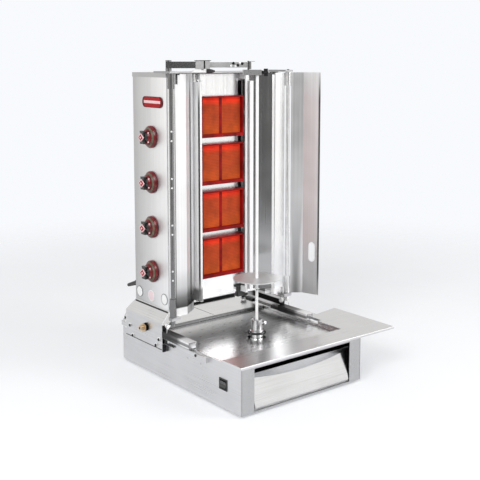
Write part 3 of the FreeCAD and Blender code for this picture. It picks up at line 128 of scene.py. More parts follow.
height = addNode(tree, "Math", {"operation": "ARCSINE"}, {0: axes.outputs["Z"]})
height = addNode(tree, "MapRange", inputs={0: height.outputs[0], 1: -math.pi / 2, 2: math.pi / 2})
upward = addNode(tree, "ValToRGB", inputs={0: height.outputs[0]})
upward = setStops(upward, [((a + 90) / 180, grey(v)) for a, v in studio["heights"]])
cards = addNode(tree, "Math", {"operation": "MULTIPLY"}, {0: around, 1: upward})
mirrored = addNode(tree, "Math", {"operation": "MAXIMUM"},
                   {0: rays.outputs["Is Glossy Ray"], 1: rays.outputs["Is Transmission Ray"]})
seen = addNode(tree, "Math", {"operation": "MAXIMUM"}, {0: rays.outputs["Is Camera Ray"], 1: mirrored.outputs[0]})
backdropLevel = addNode(tree, "Mix", {"data_type": "FLOAT"}, {0: mirrored.outputs[0], 2: 1.0, 3: cards.outputs[0]})
backdropTone = addNode(tree, "Mix", {"data_type": "RGBA"},
                       {0: mirrored.outputs[0], 6: colour(studio["backdrop"]), 7: colour("#FBFAF8")})
backdrop = addNode(tree, "Background", inputs={"Color": backdropTone.outputs[2], "Strength": backdropLevel.outputs[0]})
soft = addNode(tree, "Background", inputs={"Color": grey(1.0), "Strength": studio["softLight"]})
picked = addNode(tree, "MixShader", inputs={0: seen.outputs[0], 1: soft.outputs[0], 2: backdrop.outputs[0]})
addNode(tree, "OutputWorld", inputs={"Surface": picked.outputs[0]})

lamps = [
    # name, place, side in metres, watts
    ("keyLamp", (-2.6, -1.6, 2.6), 1.8, 60),
    ("frontLamp", (1.9, -2.6, 2.0), 1.6, 34),
]
for name, place, side, watts in lamps:
    lampData = bpy.data.lights.new(name, "AREA")
    lampData.size = side
    lampData.energy = watts
    lamp = bpy.data.objects.new(name, lampData)
    lamp.location = place
    lamp.rotation_euler = (Vector((0, 0, 0.5)) - Vector(place)).to_track_quat("-Z", "Y").to_euler()
    bpy.context.scene.collection.objects.link(lamp)

# the floor fades into the backdrop; a quarter of its brightness is its own, so that shadows stay soft
floorLook = {"radius": 3.6, "fadeStart": 1.2, "fadeEnd": 3.2, "own": 0.25}
mesh = bpy.data.meshes.new("floor")
shape = bmesh.new()
bmesh.ops.create_circle(shape, cap_ends=True, segments=96, radius=floorLook["radius"])
shape.to_mesh(mesh)
shape.free()
floor = bpy.data.objects.new("floor", mesh)
bpy.context.scene.collection.objects.link(floor)
material = bpy.data.materials.new("palePaperFloor")
material.use_nodes = True
tree = material.node_tree
tree.nodes.clear()
rays = addNode(tree, "LightPath")
mirrored = addNode(tree, "Math", {"operation": "MAXIMUM"},
                   {0: rays.outputs["Is Glossy Ray"], 1: rays.outputs["Is Transmission Ray"]})
seen = addNode(tree, "Math", {"operation": "MAXIMUM"}, {0: rays.outputs["Is Camera Ray"], 1: mirrored.outputs[0]})
place = addNode(tree, "TexCoord").outputs["Object"]
distance = addNode(tree, "VectorMath", {"operation": "LENGTH"}, {0: place})
fade = addNode(tree, "MapRange", {"interpolation_type": "SMOOTHSTEP"},
               {0: distance.outputs["Value"], 1: floorLook["fadeStart"], 2: floorLook["fadeEnd"]})
paper = addNode(tree, "TexNoise", inputs={"Vector": place, "Scale": 3.0})
paperTone = addNode(tree, "Mix", {"data_type": "RGBA"},
                    {0: paper.outputs[0], 6: colour("#E1E2E4"), 7: colour("#E5E6E8")})
matt = addNode(tree, "BsdfDiffuse", inputs={"Color": paperTone.outputs[2]})
ownLevel = addNode(tree, "Math", {"operation": "MULTIPLY"}, {0: seen.outputs[0], 1: floorLook["own"]})
own = addNode(tree, "Emission", inputs={"Color": colour(studio["backdrop"]), "Strength": ownLevel.outputs[0]})
surface = addNode(tree, "AddShader", inputs={0: matt.outputs[0], 1: own.outputs[0]})
clear = addNode(tree, "BsdfTransparent")
picked = addNode(tree, "MixShader", inputs={0: fade.outputs[0], 1: surface.outputs[0], 2: clear.outputs[0]})
addNode(tree, "OutputMaterial", inputs={"Surface": picked.outputs[0]})
mesh.materials.append(material)
print("camera, studio and floor are set")


# Materials
def newMaterial(name):
    material = bpy.data.materials.new(name)
    material.use_nodes = True
    return material, material.node_tree, material.node_tree.nodes["Principled BSDF"]


def connect(tree, output, shader, socket):
    tree.links.new(output, shader.inputs[socket])


# multiplies a tone along one axis of the object's space; a stop is (mm, sRGB level)
def alongAxis(tree, place, tone, ramp):
    axes = addNode(tree, "SeparateXYZ", inputs={0: place})
    first, last = ramp["stops"][0][0], ramp["stops"][-1][0]
    share = addNode(tree, "MapRange", inputs={0: axes.outputs[ramp["axis"]], 1: first / 1000, 2: last / 1000})
    levels = addNode(tree, "ValToRGB", inputs={0: share.outputs[0]})
    levels = setStops(levels, [((mm - first) / (last - first), colour(value)) for mm, value in ramp["stops"]])
    return addNode(tree, "Mix", {"data_type": "RGBA", "blend_type": "MULTIPLY"}, {0: 1.0, 6: tone, 7: levels}).outputs[2]


# multiplies a tone inside a soft-edged box: painted reflections of darker parts beside a sheet and painted shade on
# most sheets, and a dark seam on the deck
def darkPatch(tree, place, tone, centre, half, level, soft=0.15):
    shifted = addNode(tree, "VectorMath", {"operation": "SUBTRACT"}, {0: place, 1: [c / 1000 for c in centre]})
    share = addNode(tree, "VectorMath", {"operation": "DIVIDE"}, {0: shifted.outputs[0], 1: [h / 1000 for h in half]})
    share = addNode(tree, "VectorMath", {"operation": "ABSOLUTE"}, {0: share.outputs[0]})
    axes = addNode(tree, "SeparateXYZ", inputs={0: share.outputs[0]})
    most = addNode(tree, "Math", {"operation": "MAXIMUM"}, {0: axes.outputs["X"], 1: axes.outputs["Y"]})
    most = addNode(tree, "Math", {"operation": "MAXIMUM"}, {0: most.outputs[0], 1: axes.outputs["Z"]})
    inside = addNode(tree, "MapRange", {"interpolation_type": "SMOOTHSTEP"},
                     {0: most.outputs[0], 1: 1 - soft, 2: 1.0, 3: 1.0, 4: 0.0})
    return addNode(tree, "Mix", {"data_type": "RGBA", "blend_type": "MULTIPLY"},
                   {0: inside.outputs[0], 6: tone, 7: colour(level)}).outputs[2]


# rolled stainless sheet, ground with a belt: soft streaks along the grain, and faint cloudy patches.
# The real scratches are about 0.1 mm apart and would not show, so they are drawn some millimetres wide.
def groundSteel(name, look):
    material, tree, shader = newMaterial(name)
    place = addNode(tree, "TexCoord")
    across = 1000 / look["streakMm"]
    along = 1000 / look["streakLengthMm"]
    scale = [along if axis == look["grain"] else across for axis in "XYZ"]
    stretched = addNode(tree, "Mapping", inputs={"Vector": place.outputs["Object"], "Scale": scale})
    streaks = addNode(tree, "TexNoise", inputs={"Vector": stretched.outputs[0], "Scale": 1.0, "Detail": 3.0})
    clouds = addNode(tree, "TexNoise", inputs={"Vector": place.outputs["Object"], "Scale": 1000 / look["cloudMm"],
                                               "Detail": 1.0})
    tone = addNode(tree, "Mix", {"data_type": "FLOAT"}, {0: 0.35, 2: streaks.outputs[0], 3: clouds.outputs[0]})
    ramp = addNode(tree, "ValToRGB", inputs={0: tone.outputs[0]})
    shade = setStops(ramp, [(0.36, colour(look["dark"])), (0.64, colour(look["light"]))])
    for ramp in look.get("ramps", []):
        shade = alongAxis(tree, place.outputs["Object"], shade, ramp)
    for patch in look.get("patches", []):
        shade = darkPatch(tree, place.outputs["Object"], shade, *patch)
    connect(tree, shade, shader, "Base Color")
    gloss = addNode(tree, "MapRange", inputs={0: tone.outputs[0], 1: 0.3, 2: 0.7, 3: look["roughness"] - 0.05,
                                              4: look["roughness"] + 0.07})
    connect(tree, gloss.outputs[0], shader, "Roughness")
    bump = addNode(tree, "Bump", inputs={"Strength": look["bump"], "Distance": 0.0004,
                                         "Height": streaks.outputs[0]})
    connect(tree, bump.outputs[0], shader, "Normal")
    shader.inputs["Metallic"].default_value = look.get("metallic", 1.0)
    return material


steelLooks = {
    "groundSteelAlongX": {"grain": "X", "light": "#DEDEDF", "dark": "#D2D2D3", "roughness": 0.3, "streakMm": 2.5,
                          "streakLengthMm": 260, "cloudMm": 90, "bump": 0.05},
    "groundSteelAlongY": {"grain": "Y", "light": "#DADADB", "dark": "#CECECF", "roughness": 0.3, "streakMm": 2.5,
                          "streakLengthMm": 260, "cloudMm": 90, "bump": 0.05},
    "groundSteelUpright": {"grain": "Z", "light": "#E2E2E3", "dark": "#D8D8D9", "roughness": 0.22, "streakMm": 3,
                           "streakLengthMm": 400, "cloudMm": 120, "bump": 0.04},
    # bright annealed sheet keeps a mirror-like skin with faint rolling lines
    "brightSheetUpright": {"grain": "Z", "light": "#EEEEEF", "dark": "#E2E2E3", "roughness": 0.17, "streakMm": 4,
                           "streakLengthMm": 600, "cloudMm": 80, "bump": 0.03},
    "brightSheetAlongX": {"grain": "X", "light": "#E2E2E3", "dark": "#D6D6D7", "roughness": 0.2, "streakMm": 3,
                          "streakLengthMm": 300, "cloudMm": 90, "bump": 0.03},
    # drawn and turned bar shines more, with fine lines round it
    "turnedBar": {"grain": "X", "light": "#DCDCDD", "dark": "#C2C2C4", "roughness": 0.18, "streakMm": 1.5,
                  "streakLengthMm": 60, "cloudMm": 30, "bump": 0.05},
    "nickelledBrass": {"grain": "X", "light": "#E0C58C", "dark": "#C9A765", "roughness": 0.25, "streakMm": 2,
                       "streakLengthMm": 20, "cloudMm": 20, "bump": 0.05},
    "sinteredBronze": {"grain": "Z", "light": "#A8794A", "dark": "#7E5935", "roughness": 0.5, "streakMm": 1,
                       "streakLengthMm": 1, "cloudMm": 12, "bump": 0.3},
}
# sheets with a look of their own: painted reflections and painted shade darken some places, and some are whitened as
# painted highlights
ownLooks = {
    # the tower walls: lighter at the front and darker towards the back: painted shade
    "towerSheet": ("groundSteelUpright", {
        "light": "#F8F8F9", "dark": "#EEEEEF", "roughness": 0.42,
        "ramps": [{"axis": "Y", "stops": [(68, "#FFFFFF"), (110, "#F6F6F6"), (170, "#E2E2E2"), (240, "#CECECE"),
                                          (268, "#C2C2C2")]}]}),
    # the top cap: a darker copy of the ground sheet: painted shade
    "capSheet": ("groundSteelAlongX", {"light": "#B8B8B9", "dark": "#AEAEAF"}),
    # the left wing: darker along its lower edge and in upright strips: painted shade and painted reflections of the
    # parts beside it
    "leftWingSheet": ("brightSheetUpright", {
        "light": "#F4F4F5", "dark": "#EAEAEB", "roughness": 0.2, "metallic": 0.35,
        "ramps": [{"axis": "Z", "stops": [(250, "#FFFFFF"), (254, "#303030"), (262, "#484848"), (285, "#7A7A7A"),
                                          (320, "#D8D8D8"), (380, "#FFFFFF")]}],
        "patches": [((-231.6, 26, 620), (1.6, 4, 420), "#4A4A4A", 0.4),
                    ((-157, 50, 620), (7, 9, 420), "#8A8A8A", 0.3),
                    ((-158, 49.5, 620), (3.6, 5, 420), "#404040", 0.5)]}),
    # the right wing: an upright dark strip and a broad grey area: painted reflections
    "rightWingSheet": ("brightSheetUpright", {
        "light": "#FCFCFD", "dark": "#F2F2F3", "roughness": 0.33,
        "patches": [((309, -69, 620), (3.5, 6, 420), "#6A6A6A", 0.3),
                    ((268, 6, 226), (23, 18, 420), "#A8A8A8", 0.9)]}),
    # the reflectors: a faint grey box on the right one: painted reflection
    "reflectorSheet": ("brightSheetUpright", {"patches": [((151, 57, 630), (36, 34, 420), "#C6C6C6", 0.04)]}),
    # the burner side bars: near-white and barely metallic as a painted highlight, with a dark strip on one face as a
    # painted reflection and a dark box low down as painted shade
    "barSheet": ("brightSheetUpright", {
        "light": "#FFFFFF", "dark": "#FAFAFB", "roughness": 0.3, "metallic": 0.05,
        "patches": [((-113.4, 60, 615), (4, 2, 400), "#161616", 0.3),
                    ((-110, 72, 262), (12, 20, 40), "#4C4C4C", 0.6)]}),
    # the pan and perforated plate: a dark band along the back: painted reflection of the tower
    "panMirror": ("brightSheetAlongX", {
        "light": "#E2E2E3", "dark": "#DADADB", "roughness": 0.24, "cloudMm": 160,
        "patches": [((0, 158, 140), (262, 10, 22), "#6E6E6E", 0.3)]}),
    # the spit and the side rods: near-white and barely metallic: painted highlight
    "spitBar": ("turnedBar", {"light": "#FFFFFF", "dark": "#F8F8F9", "roughness": 0.3, "grain": "Z", "metallic": 0.15}),
    "rodBar": ("turnedBar", {"light": "#FFFFFF", "dark": "#F8F8F9", "roughness": 0.26, "grain": "Z", "metallic": 0.1}),
    # the front plate: a little darker at its top, under the cap: painted shade
    "plateSheet": ("groundSteelUpright", {
        "ramps": [{"axis": "Z", "stops": [(226, "#FFFFFF"), (880, "#FFFFFF"), (960, "#ECECEC"), (1010, "#ECECEC")]}]}),
    # the hinge rods: a grey box darkens the left rod and its knuckles: painted shade
    "hingeBar": ("turnedBar", {"light": "#EEEEEF", "dark": "#DCDCDD", "grain": "Z", "roughness": 0.24,
                               "patches": [((-245, 27, 610), (16, 16, 520), "#8E8E8E", 0.02)]}),
    "mattDisc": ("groundSteelAlongX", {"light": "#E0E2E2", "dark": "#D6D8D8", "roughness": 0.5, "metallic": 0.85}),
    "drawerSheet": ("brightSheetAlongX", {"light": "#CECECF", "dark": "#C2C2C3"}),
    # the base housing: its front face a little darker: painted shade
    "baseSheet": ("groundSteelAlongY", {"patches": [((0, -335, 80), (256, 2, 90), "#E0E0E0", 0.01)]}),
    "deckSheet": ("groundSteelAlongX", {
        "light": "#E0E0E1", "dark": "#D6D6D7", "roughness": 0.14,
        "patches": [((25, 248, 151), (1.8, 92, 4), "#484848", 0.4)]}),
    "innerSheet": ("groundSteelUpright", {"light": "#F4F4F5", "dark": "#E8E8E9", "roughness": 0.45, "metallic": 0.4}),
    "bracketSheet": ("groundSteelAlongX", {"light": "#A6A6A8", "dark": "#98989A"}),
    # the skirts: the inner face of the right skirt near black: painted shade
    "skirtSheet": ("groundSteelAlongY", {"patches": [((261.6, 142, 176.5), (1.2, 118, 11.5), "#080808", 0.25)]}),
    # the sled arms: whitened on top, darker towards the back and along a band on their sides: painted highlight and
    # painted shade
    "sledSheet": ("groundSteelAlongY", {
        "light": "#FAFAFB", "dark": "#F0F0F1", "roughness": 0.4, "metallic": 0.4,
        "ramps": [{"axis": "Y", "stops": [(-90, "#FFFFFF"), (-45, "#F0F0F0"), (-22, "#707070"), (20, "#343434"),
                                          (64, "#222222")]},
                  {"axis": "Z", "stops": [(152, "#FFFFFF"), (156, "#F8F8F8"), (158, "#8C8C8C"), (165, "#A4A4A4"),
                                          (167.5, "#FFFFFF"), (173, "#FFFFFF")]}]}),
    # the side rails: a dark box on the left rail: painted shade
    "railSheet": ("groundSteelAlongY", {"patches": [((-260, 56, 139), (7, 18, 9), "#303030", 0.3)]}),
    "tubeSheet": ("groundSteelAlongX", {"light": "#8E8E90", "dark": "#7C7C7E", "roughness": 0.26}),
    "sliderSheet": ("groundSteelAlongX", {"light": "#F0F0F1", "dark": "#E4E4E5"}),
    "clampSheet": ("groundSteelAlongX", {"light": "#EAEAEB", "dark": "#DEDEDF", "roughness": 0.34}),
    "bearingSteel": ("groundSteelAlongX", {
        "light": "#D2D2D3", "dark": "#C4C4C5",
        "patches": [((-24, -86, 1038), (10, 14, 15), "#2A2A2A", 0.05), ((22, -115, 1014), (18, 14, 14), "#5A5A5A", 0.1)]}),
    # the brass nipple is pale with wear, on a blackened nut
    "paleBrass": ("nickelledBrass", {
        "light": "#E8D9C2", "dark": "#D2C0A2", "roughness": 0.4,
        "ramps": [{"axis": "X", "stops": [(-290, "#FFFFFF"), (-272, "#F0E4D4"), (-270, "#141414"), (-262, "#141414")]}]}),
    "darkSteel": ("turnedBar", {"light": "#3E3E40", "dark": "#2A2A2C", "roughness": 0.34}),
    # plated small parts and the reflector hem: near-white and barely metallic, so they read as bright: painted
    # highlight
    "zincWithPaintedHighlight": ("turnedBar", {"light": "#FFFFFF", "dark": "#F2F2F2", "roughness": 0.4, "metallic": 0.35}),
}
for name, (base, own) in ownLooks.items():
    steelLooks[name] = {**steelLooks[base], **own}
steels = {name: groundSteel(name, look) for name, look in steelLooks.items()}


# moulded ABS or nylon: a fine spark-eroded grain and a faint unevenness of colour
def mouldedPlastic(name, look):
    material, tree, shader = newMaterial(name)
    place = addNode(tree, "TexCoord").outputs["Object"]
    grain = addNode(tree, "TexNoise", inputs={"Vector": place, "Scale": 1000 / look["grainMm"], "Detail": 2.0})
    patch = addNode(tree, "TexNoise", inputs={"Vector": place, "Scale": 1000 / look["patchMm"]})
    ramp = addNode(tree, "ValToRGB", inputs={0: patch.outputs[0]})
    shade = setStops(ramp, [(0.35, colour(look["dark"])), (0.65, colour(look["light"]))])
    connect(tree, shade, shader, "Base Color")
    gloss = addNode(tree, "MapRange", inputs={0: grain.outputs[0], 1: 0.3, 2: 0.7, 3: look["roughness"] - 0.06,
                                              4: look["roughness"] + 0.06})
    connect(tree, gloss.outputs[0], shader, "Roughness")
    bump = addNode(tree, "Bump", inputs={"Strength": look["bump"], "Distance": 0.0002, "Height": grain.outputs[0]})
    connect(tree, bump.outputs[0], shader, "Normal")
    shader.inputs["Coat Weight"].default_value = look["coat"]
    shader.inputs["IOR"].default_value = look["ior"]
    shader.inputs["Specular IOR Level"].default_value = look.get("shine", 0.5)
    return material


plasticLooks = {
    "blackNylon": {"light": "#242424", "dark": "#141414", "roughness": 0.42, "grainMm": 0.8, "patchMm": 25,
                   "bump": 0.2, "coat": 0.0, "ior": 1.53},
    "blackGlossPlastic": {"light": "#1B1D1D", "dark": "#0E0F0F", "roughness": 0.2, "grainMm": 1.5, "patchMm": 20,
                          "bump": 0.05, "coat": 0.4, "ior": 1.5},
    "redPhenolic": {"light": "#780814", "dark": "#560308", "roughness": 0.26, "grainMm": 1.5, "patchMm": 14,
                    "bump": 0.08, "coat": 0.2, "ior": 1.55, "shine": 0.35},
    "blackRubber": {"light": "#232323", "dark": "#171717", "roughness": 0.75, "grainMm": 1.2, "patchMm": 20,
                    "bump": 0.35, "coat": 0.0, "ior": 1.52},
    "greyStovedPaint": {"light": "#6B6E72", "dark": "#5C5F63", "roughness": 0.45, "grainMm": 1.6, "patchMm": 40,
                        "bump": 0.25, "coat": 0.1, "ior": 1.5},
}
# screen-printed or lacquered faces, bare of any words
printLooks = {
    "redPrint": ("#AC0C14", "#960A10"), "darkRedPrint": ("#5E0A14", "#4C0610"), "palePrint": ("#F6D4D6", "#EEC4C8"),
    "whitePrint": ("#FFFFFF", "#F4F6F6"), "blushPrint": ("#F4E0E4", "#EED8DC"), "greyPrint": ("#8C9090", "#7C8080"),
    "oliveScale": ("#756E5C", "#5E584A"),
}
for name, (light, dark) in printLooks.items():
    plasticLooks[name] = {"light": light, "dark": dark, "roughness": 0.35, "grainMm": 1.2, "patchMm": 12, "bump": 0.05,
                          "coat": 0.0, "ior": 1.5, "shine": 0.2}
plastics = {name: mouldedPlastic(name, look) for name, look in plasticLooks.items()}


# burner casting in heat-proof red enamel, with a patchy tone
enamelLook = {"light": "#A40606", "dark": "#640203", "roughness": 0.55, "shine": 0.2, "patchMm": 35, "grainMm": 1.2}


def redEnamel():
    material, tree, shader = newMaterial("heatProofRedEnamel")
    place = addNode(tree, "TexCoord").outputs["Object"]
    patch = addNode(tree, "TexNoise", inputs={"Vector": place, "Scale": 1000 / enamelLook["patchMm"], "Detail": 3.0})
    ramp = addNode(tree, "ValToRGB", inputs={0: patch.outputs[0]})
    shade = setStops(ramp, [(0.3, colour(enamelLook["dark"])), (0.7, colour(enamelLook["light"]))])
    connect(tree, shade, shader, "Base Color")
    grain = addNode(tree, "TexNoise", inputs={"Vector": place, "Scale": 1000 / enamelLook["grainMm"]})
    bump = addNode(tree, "Bump", inputs={"Strength": 0.15, "Distance": 0.0003, "Height": grain.outputs[0]})
    connect(tree, bump.outputs[0], shader, "Normal")
    shader.inputs["Roughness"].default_value = enamelLook["roughness"]
    shader.inputs["Specular IOR Level"].default_value = enamelLook["shine"]
    return material


enamel = redEnamel()

# glowing ceramic plaque: pressed cordierite with rows of small flame holes, hottest along its top
tileLook = {
    "holePitchMm": 5.2,     # the real holes are about 3 mm apart, and are drawn wider to show
    "glow": 0.35,
}


def glowingCeramic():
    low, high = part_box("burner_bodies")
    rows = 4
    rowPitch = 0.160
    faceHeight = (high.z - low.z) - rowPitch * (rows - 1)
    material, tree, shader = newMaterial("glowingCordierite")
    place = addNode(tree, "TexCoord").outputs["Object"]
    axes = addNode(tree, "SeparateXYZ", inputs={0: place})
    lift = addNode(tree, "Math", {"operation": "SUBTRACT"}, {0: axes.outputs["Z"], 1: low.z})
    inRow = addNode(tree, "Math", {"operation": "FLOORED_MODULO"}, {0: lift.outputs[0], 1: rowPitch})
    rise = addNode(tree, "MapRange", inputs={0: inRow.outputs[0], 1: 0.0, 2: faceHeight})
    heat = addNode(tree, "ValToRGB", inputs={0: rise.outputs[0]})
    heat = setStops(heat, [(0.0, colour("#BC4E10")), (0.12, colour("#B84A12")), (0.45, colour("#A63C12")),
                           (0.76, colour("#AA3A10")), (0.88, colour("#EA3414")), (1.0, colour("#D81E0A"))])
    patch = addNode(tree, "TexNoise", inputs={"Vector": place, "Scale": 28.0, "Detail": 2.0})
    patchTone = addNode(tree, "ValToRGB", inputs={0: patch.outputs[0]})
    patchTone = setStops(patchTone, [(0.35, grey(0.82)), (0.65, grey(1.1))])
    tone = addNode(tree, "Mix", {"data_type": "RGBA", "blend_type": "MULTIPLY"}, {0: 1.0, 6: heat, 7: patchTone})
    # round dimples on a square grid
    cell = addNode(tree, "VectorMath", {"operation": "SCALE"}, {0: place, "Scale": 1000 / tileLook["holePitchMm"]})
    part = addNode(tree, "VectorMath", {"operation": "FRACTION"}, {0: cell.outputs[0]})
    middle = addNode(tree, "VectorMath", {"operation": "SUBTRACT"}, {0: part.outputs[0], 1: (0.5, 0.5, 0.5)})
    flat = addNode(tree, "VectorMath", {"operation": "MULTIPLY"}, {0: middle.outputs[0], 1: (1.0, 0.0, 1.0)})
    radius = addNode(tree, "VectorMath", {"operation": "LENGTH"}, {0: flat.outputs[0]})
    hole = addNode(tree, "MapRange", {"interpolation_type": "SMOOTHSTEP"},
                   {0: radius.outputs["Value"], 1: 0.2, 2: 0.36, 3: 0.62, 4: 1.0})
    dotted = addNode(tree, "Mix", {"data_type": "RGBA", "blend_type": "MULTIPLY"},
                     {0: 1.0, 6: tone.outputs[2], 7: hole.outputs[0]})
    connect(tree, dotted.outputs[2], shader, "Base Color")
    connect(tree, dotted.outputs[2], shader, "Emission Color")
    shader.inputs["Emission Strength"].default_value = tileLook["glow"]
    bump = addNode(tree, "Bump", inputs={"Strength": 0.6, "Distance": 0.0008, "Height": hole.outputs[0]})
    connect(tree, bump.outputs[0], shader, "Normal")
    shader.inputs["Roughness"].default_value = 0.9
    return material


ceramic = glowingCeramic()
print("materials made")

# which finish each part of the frame has
finishes = {
    "groundSteelAlongX": ["base_floor", "motor_bracket", "drawer_guides", "drawer_tray", "shelf_plate",
                          "front_skirt"],
    "railSheet": ["side_rails"],
    "baseSheet": ["base_housing"],
    "plateSheet": ["front_plate"],
    "innerSheet": ["back_cover"],
    "bracketSheet": ["rod_brackets"],
    "towerSheet": ["tower_housing"],
    "capSheet": ["top_cap"],
    "reflectorSheet": ["reflector_left", "reflector_right"],
    "leftWingSheet": ["wing_left"],
    "rightWingSheet": ["wing_right"],
    "barSheet": ["burner_side_bars"],
    "panMirror": ["drip_pan", "perforated_plate"],
    "deckSheet": ["rear_deck"],
    "drawerSheet": ["drawer_front"],
    "skirtSheet": ["side_skirts"],
    "sledSheet": ["sled_arms"],
    "tubeSheet": ["arm_tube", "arm_post"],
    "sliderSheet": ["slider_tube"],
    "clampSheet": ["arm_clamp"],
    "bearingSteel": ["bearing_block"],
    "mattDisc": ["meat_disc"],
    "spitBar": ["spit_rod"],
    "rodBar": ["side_rods"],
    "hingeBar": ["hinge_rods", "wing_knuckles_left", "wing_knuckles_right"],
    "turnedBar": ["drive_hub", "drive_shaft", "pan_collar", "bracket_screws", "gas_pipes"],
    "nickelledBrass": ["gas_valves"],
    "paleBrass": ["gas_inlet"],
    "sinteredBronze": ["lower_bearing"],
    "blackNylon": ["glide_blocks", "cable_gland", "switch_bezel", "rear_handle"],
    "blackGlossPlastic": ["switch_rocker"] + [f"knob_grip_{n}" for n in range(1, 5)],
    "redPhenolic": [f"knob_skirt_{n}" for n in range(1, 5)],
    "blackRubber": ["feet"],
    "greyStovedPaint": ["motor_gearbox"],
}
allMaterials = {**steels, **plastics}
for finish, nodes in finishes.items():
    for node in nodes:
        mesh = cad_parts[node].data
        mesh.materials.clear()
        mesh.materials.append(allMaterials[finish])
for node, material in (("burner_bodies", enamel), ("ceramic_tiles", ceramic)):
    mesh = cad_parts[node].data
    mesh.materials.clear()
    mesh.materials.append(material)
print("frame dressed")


# Pieces: each is built in its place with mesh operators, in millimetres
def addBox(shape, low, high, turn=0.0, rounding=0.0):
    low, high = Vector(low) / 1000, Vector(high) / 1000
    made = bmesh.ops.create_cube(shape, size=1.0)["verts"]
    bmesh.ops.scale(shape, vec=high - low, verts=made)
    bmesh.ops.rotate(shape, cent=(0, 0, 0), matrix=Matrix.Rotation(math.radians(turn), 3, "X"), verts=made)
    bmesh.ops.translate(shape, vec=(low + high) / 2, verts=made)
    if rounding:
        edges = list({edge for vert in made for edge in vert.link_edges})
        bmesh.ops.bevel(shape, geom=edges, offset=rounding / 1000, segments=2, profile=0.6, affect="EDGES")


# a turned form: the profile's stops are (distance along the direction, radius); a hollow one has a bore
def addTurned(shape, place, direction, profile, hollow=False, segments=40):
    turn = Vector((0, 0, 1)).rotation_difference(Vector(direction)).to_matrix()
    stops = list(profile) if hollow else [(profile[0][0], 0), *profile, (profile[-1][0], 0)]
    verts = []
    for along, radius in stops:
        point = (Vector(place) + turn @ Vector((radius, 0, along))) / 1000
        verts += bmesh.ops.create_vert(shape, co=point)["vert"]
    following = verts[1:] + verts[:1] if hollow else verts[1:]
    edges = [shape.edges.new(pair) for pair in zip(verts, following)]
    bmesh.ops.spin(shape, geom=verts + edges, cent=Vector(place) / 1000, axis=turn @ Vector((0, 0, 1)),
                   angle=2 * math.pi, steps=segments, use_merge=True)
    bmesh.ops.remove_doubles(shape, verts=shape.verts[:], dist=0.000001)


# a button head with a socket
def addScrew(shape, place, direction, radius, height):
    addTurned(shape, place, direction, [(0, radius), (height * 0.45, radius), (height * 0.8, radius * 0.84),
                                        (height, radius * 0.6), (height, radius * 0.44), (height * 0.5, radius * 0.4)],
              segments=24)


# each closed part of a shape gets its faces turned outward
def turnOutward(shape):
    bmesh.ops.recalc_face_normals(shape, faces=shape.faces)
    shape.normal_update()
    left = set(shape.faces)
    while left:
        waiting, island = [left.pop()], []
        while waiting:
            face = waiting.pop()
            island.append(face)
            near = {other for edge in face.edges for other in edge.link_faces} & left
            left -= near
            waiting += near
        middle = sum((face.calc_center_median() for face in island), Vector()) / len(island)
        swept = sum((face.calc_center_median() - middle).dot(face.normal) * face.calc_area() for face in island)
        if swept < 0:
            bmesh.ops.reverse_faces(shape, faces=island)


def finishPiece(name, shape, finish, body, replaced=None):
    turnOutward(shape)
    mesh = bpy.data.meshes.new(name)
    shape.to_mesh(mesh)
    shape.free()
    mesh.polygons.foreach_set("use_smooth", [True] * len(mesh.polygons))
    mesh.set_sharp_from_angle(angle=math.radians(32))
    mesh.materials.append(allMaterials[finish])
    piece = bpy.data.objects.new(name, mesh)
    bpy.context.scene.collection.objects.link(piece)
    if replaced:
        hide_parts(replaced)
    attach(piece, body)
    return piece


# Gas knobs: a red moulded skirt with a scale ring, a black bow-shaped grip and a red diamond pointer
knobLook = {"wallX": -235, "axisY": 160, "firstZ": 352, "pitch": 150.5, "count": 4}


def addDiamond(shape, middle, depth, halfY, halfZ):
    made = bmesh.ops.create_cube(shape, size=math.sqrt(2))["verts"]
    bmesh.ops.rotate(shape, cent=(0, 0, 0), matrix=Matrix.Rotation(math.radians(45), 3, "X"), verts=made)
    bmesh.ops.scale(shape, vec=Vector((depth / math.sqrt(2), halfY, halfZ)) / 1000, verts=made)
    bmesh.ops.translate(shape, vec=Vector(middle) / 1000, verts=made)
    edges = list({edge for vert in made for edge in vert.link_edges})
    bmesh.ops.bevel(shape, geom=edges, offset=0.0004, segments=2, profile=0.6, affect="EDGES")


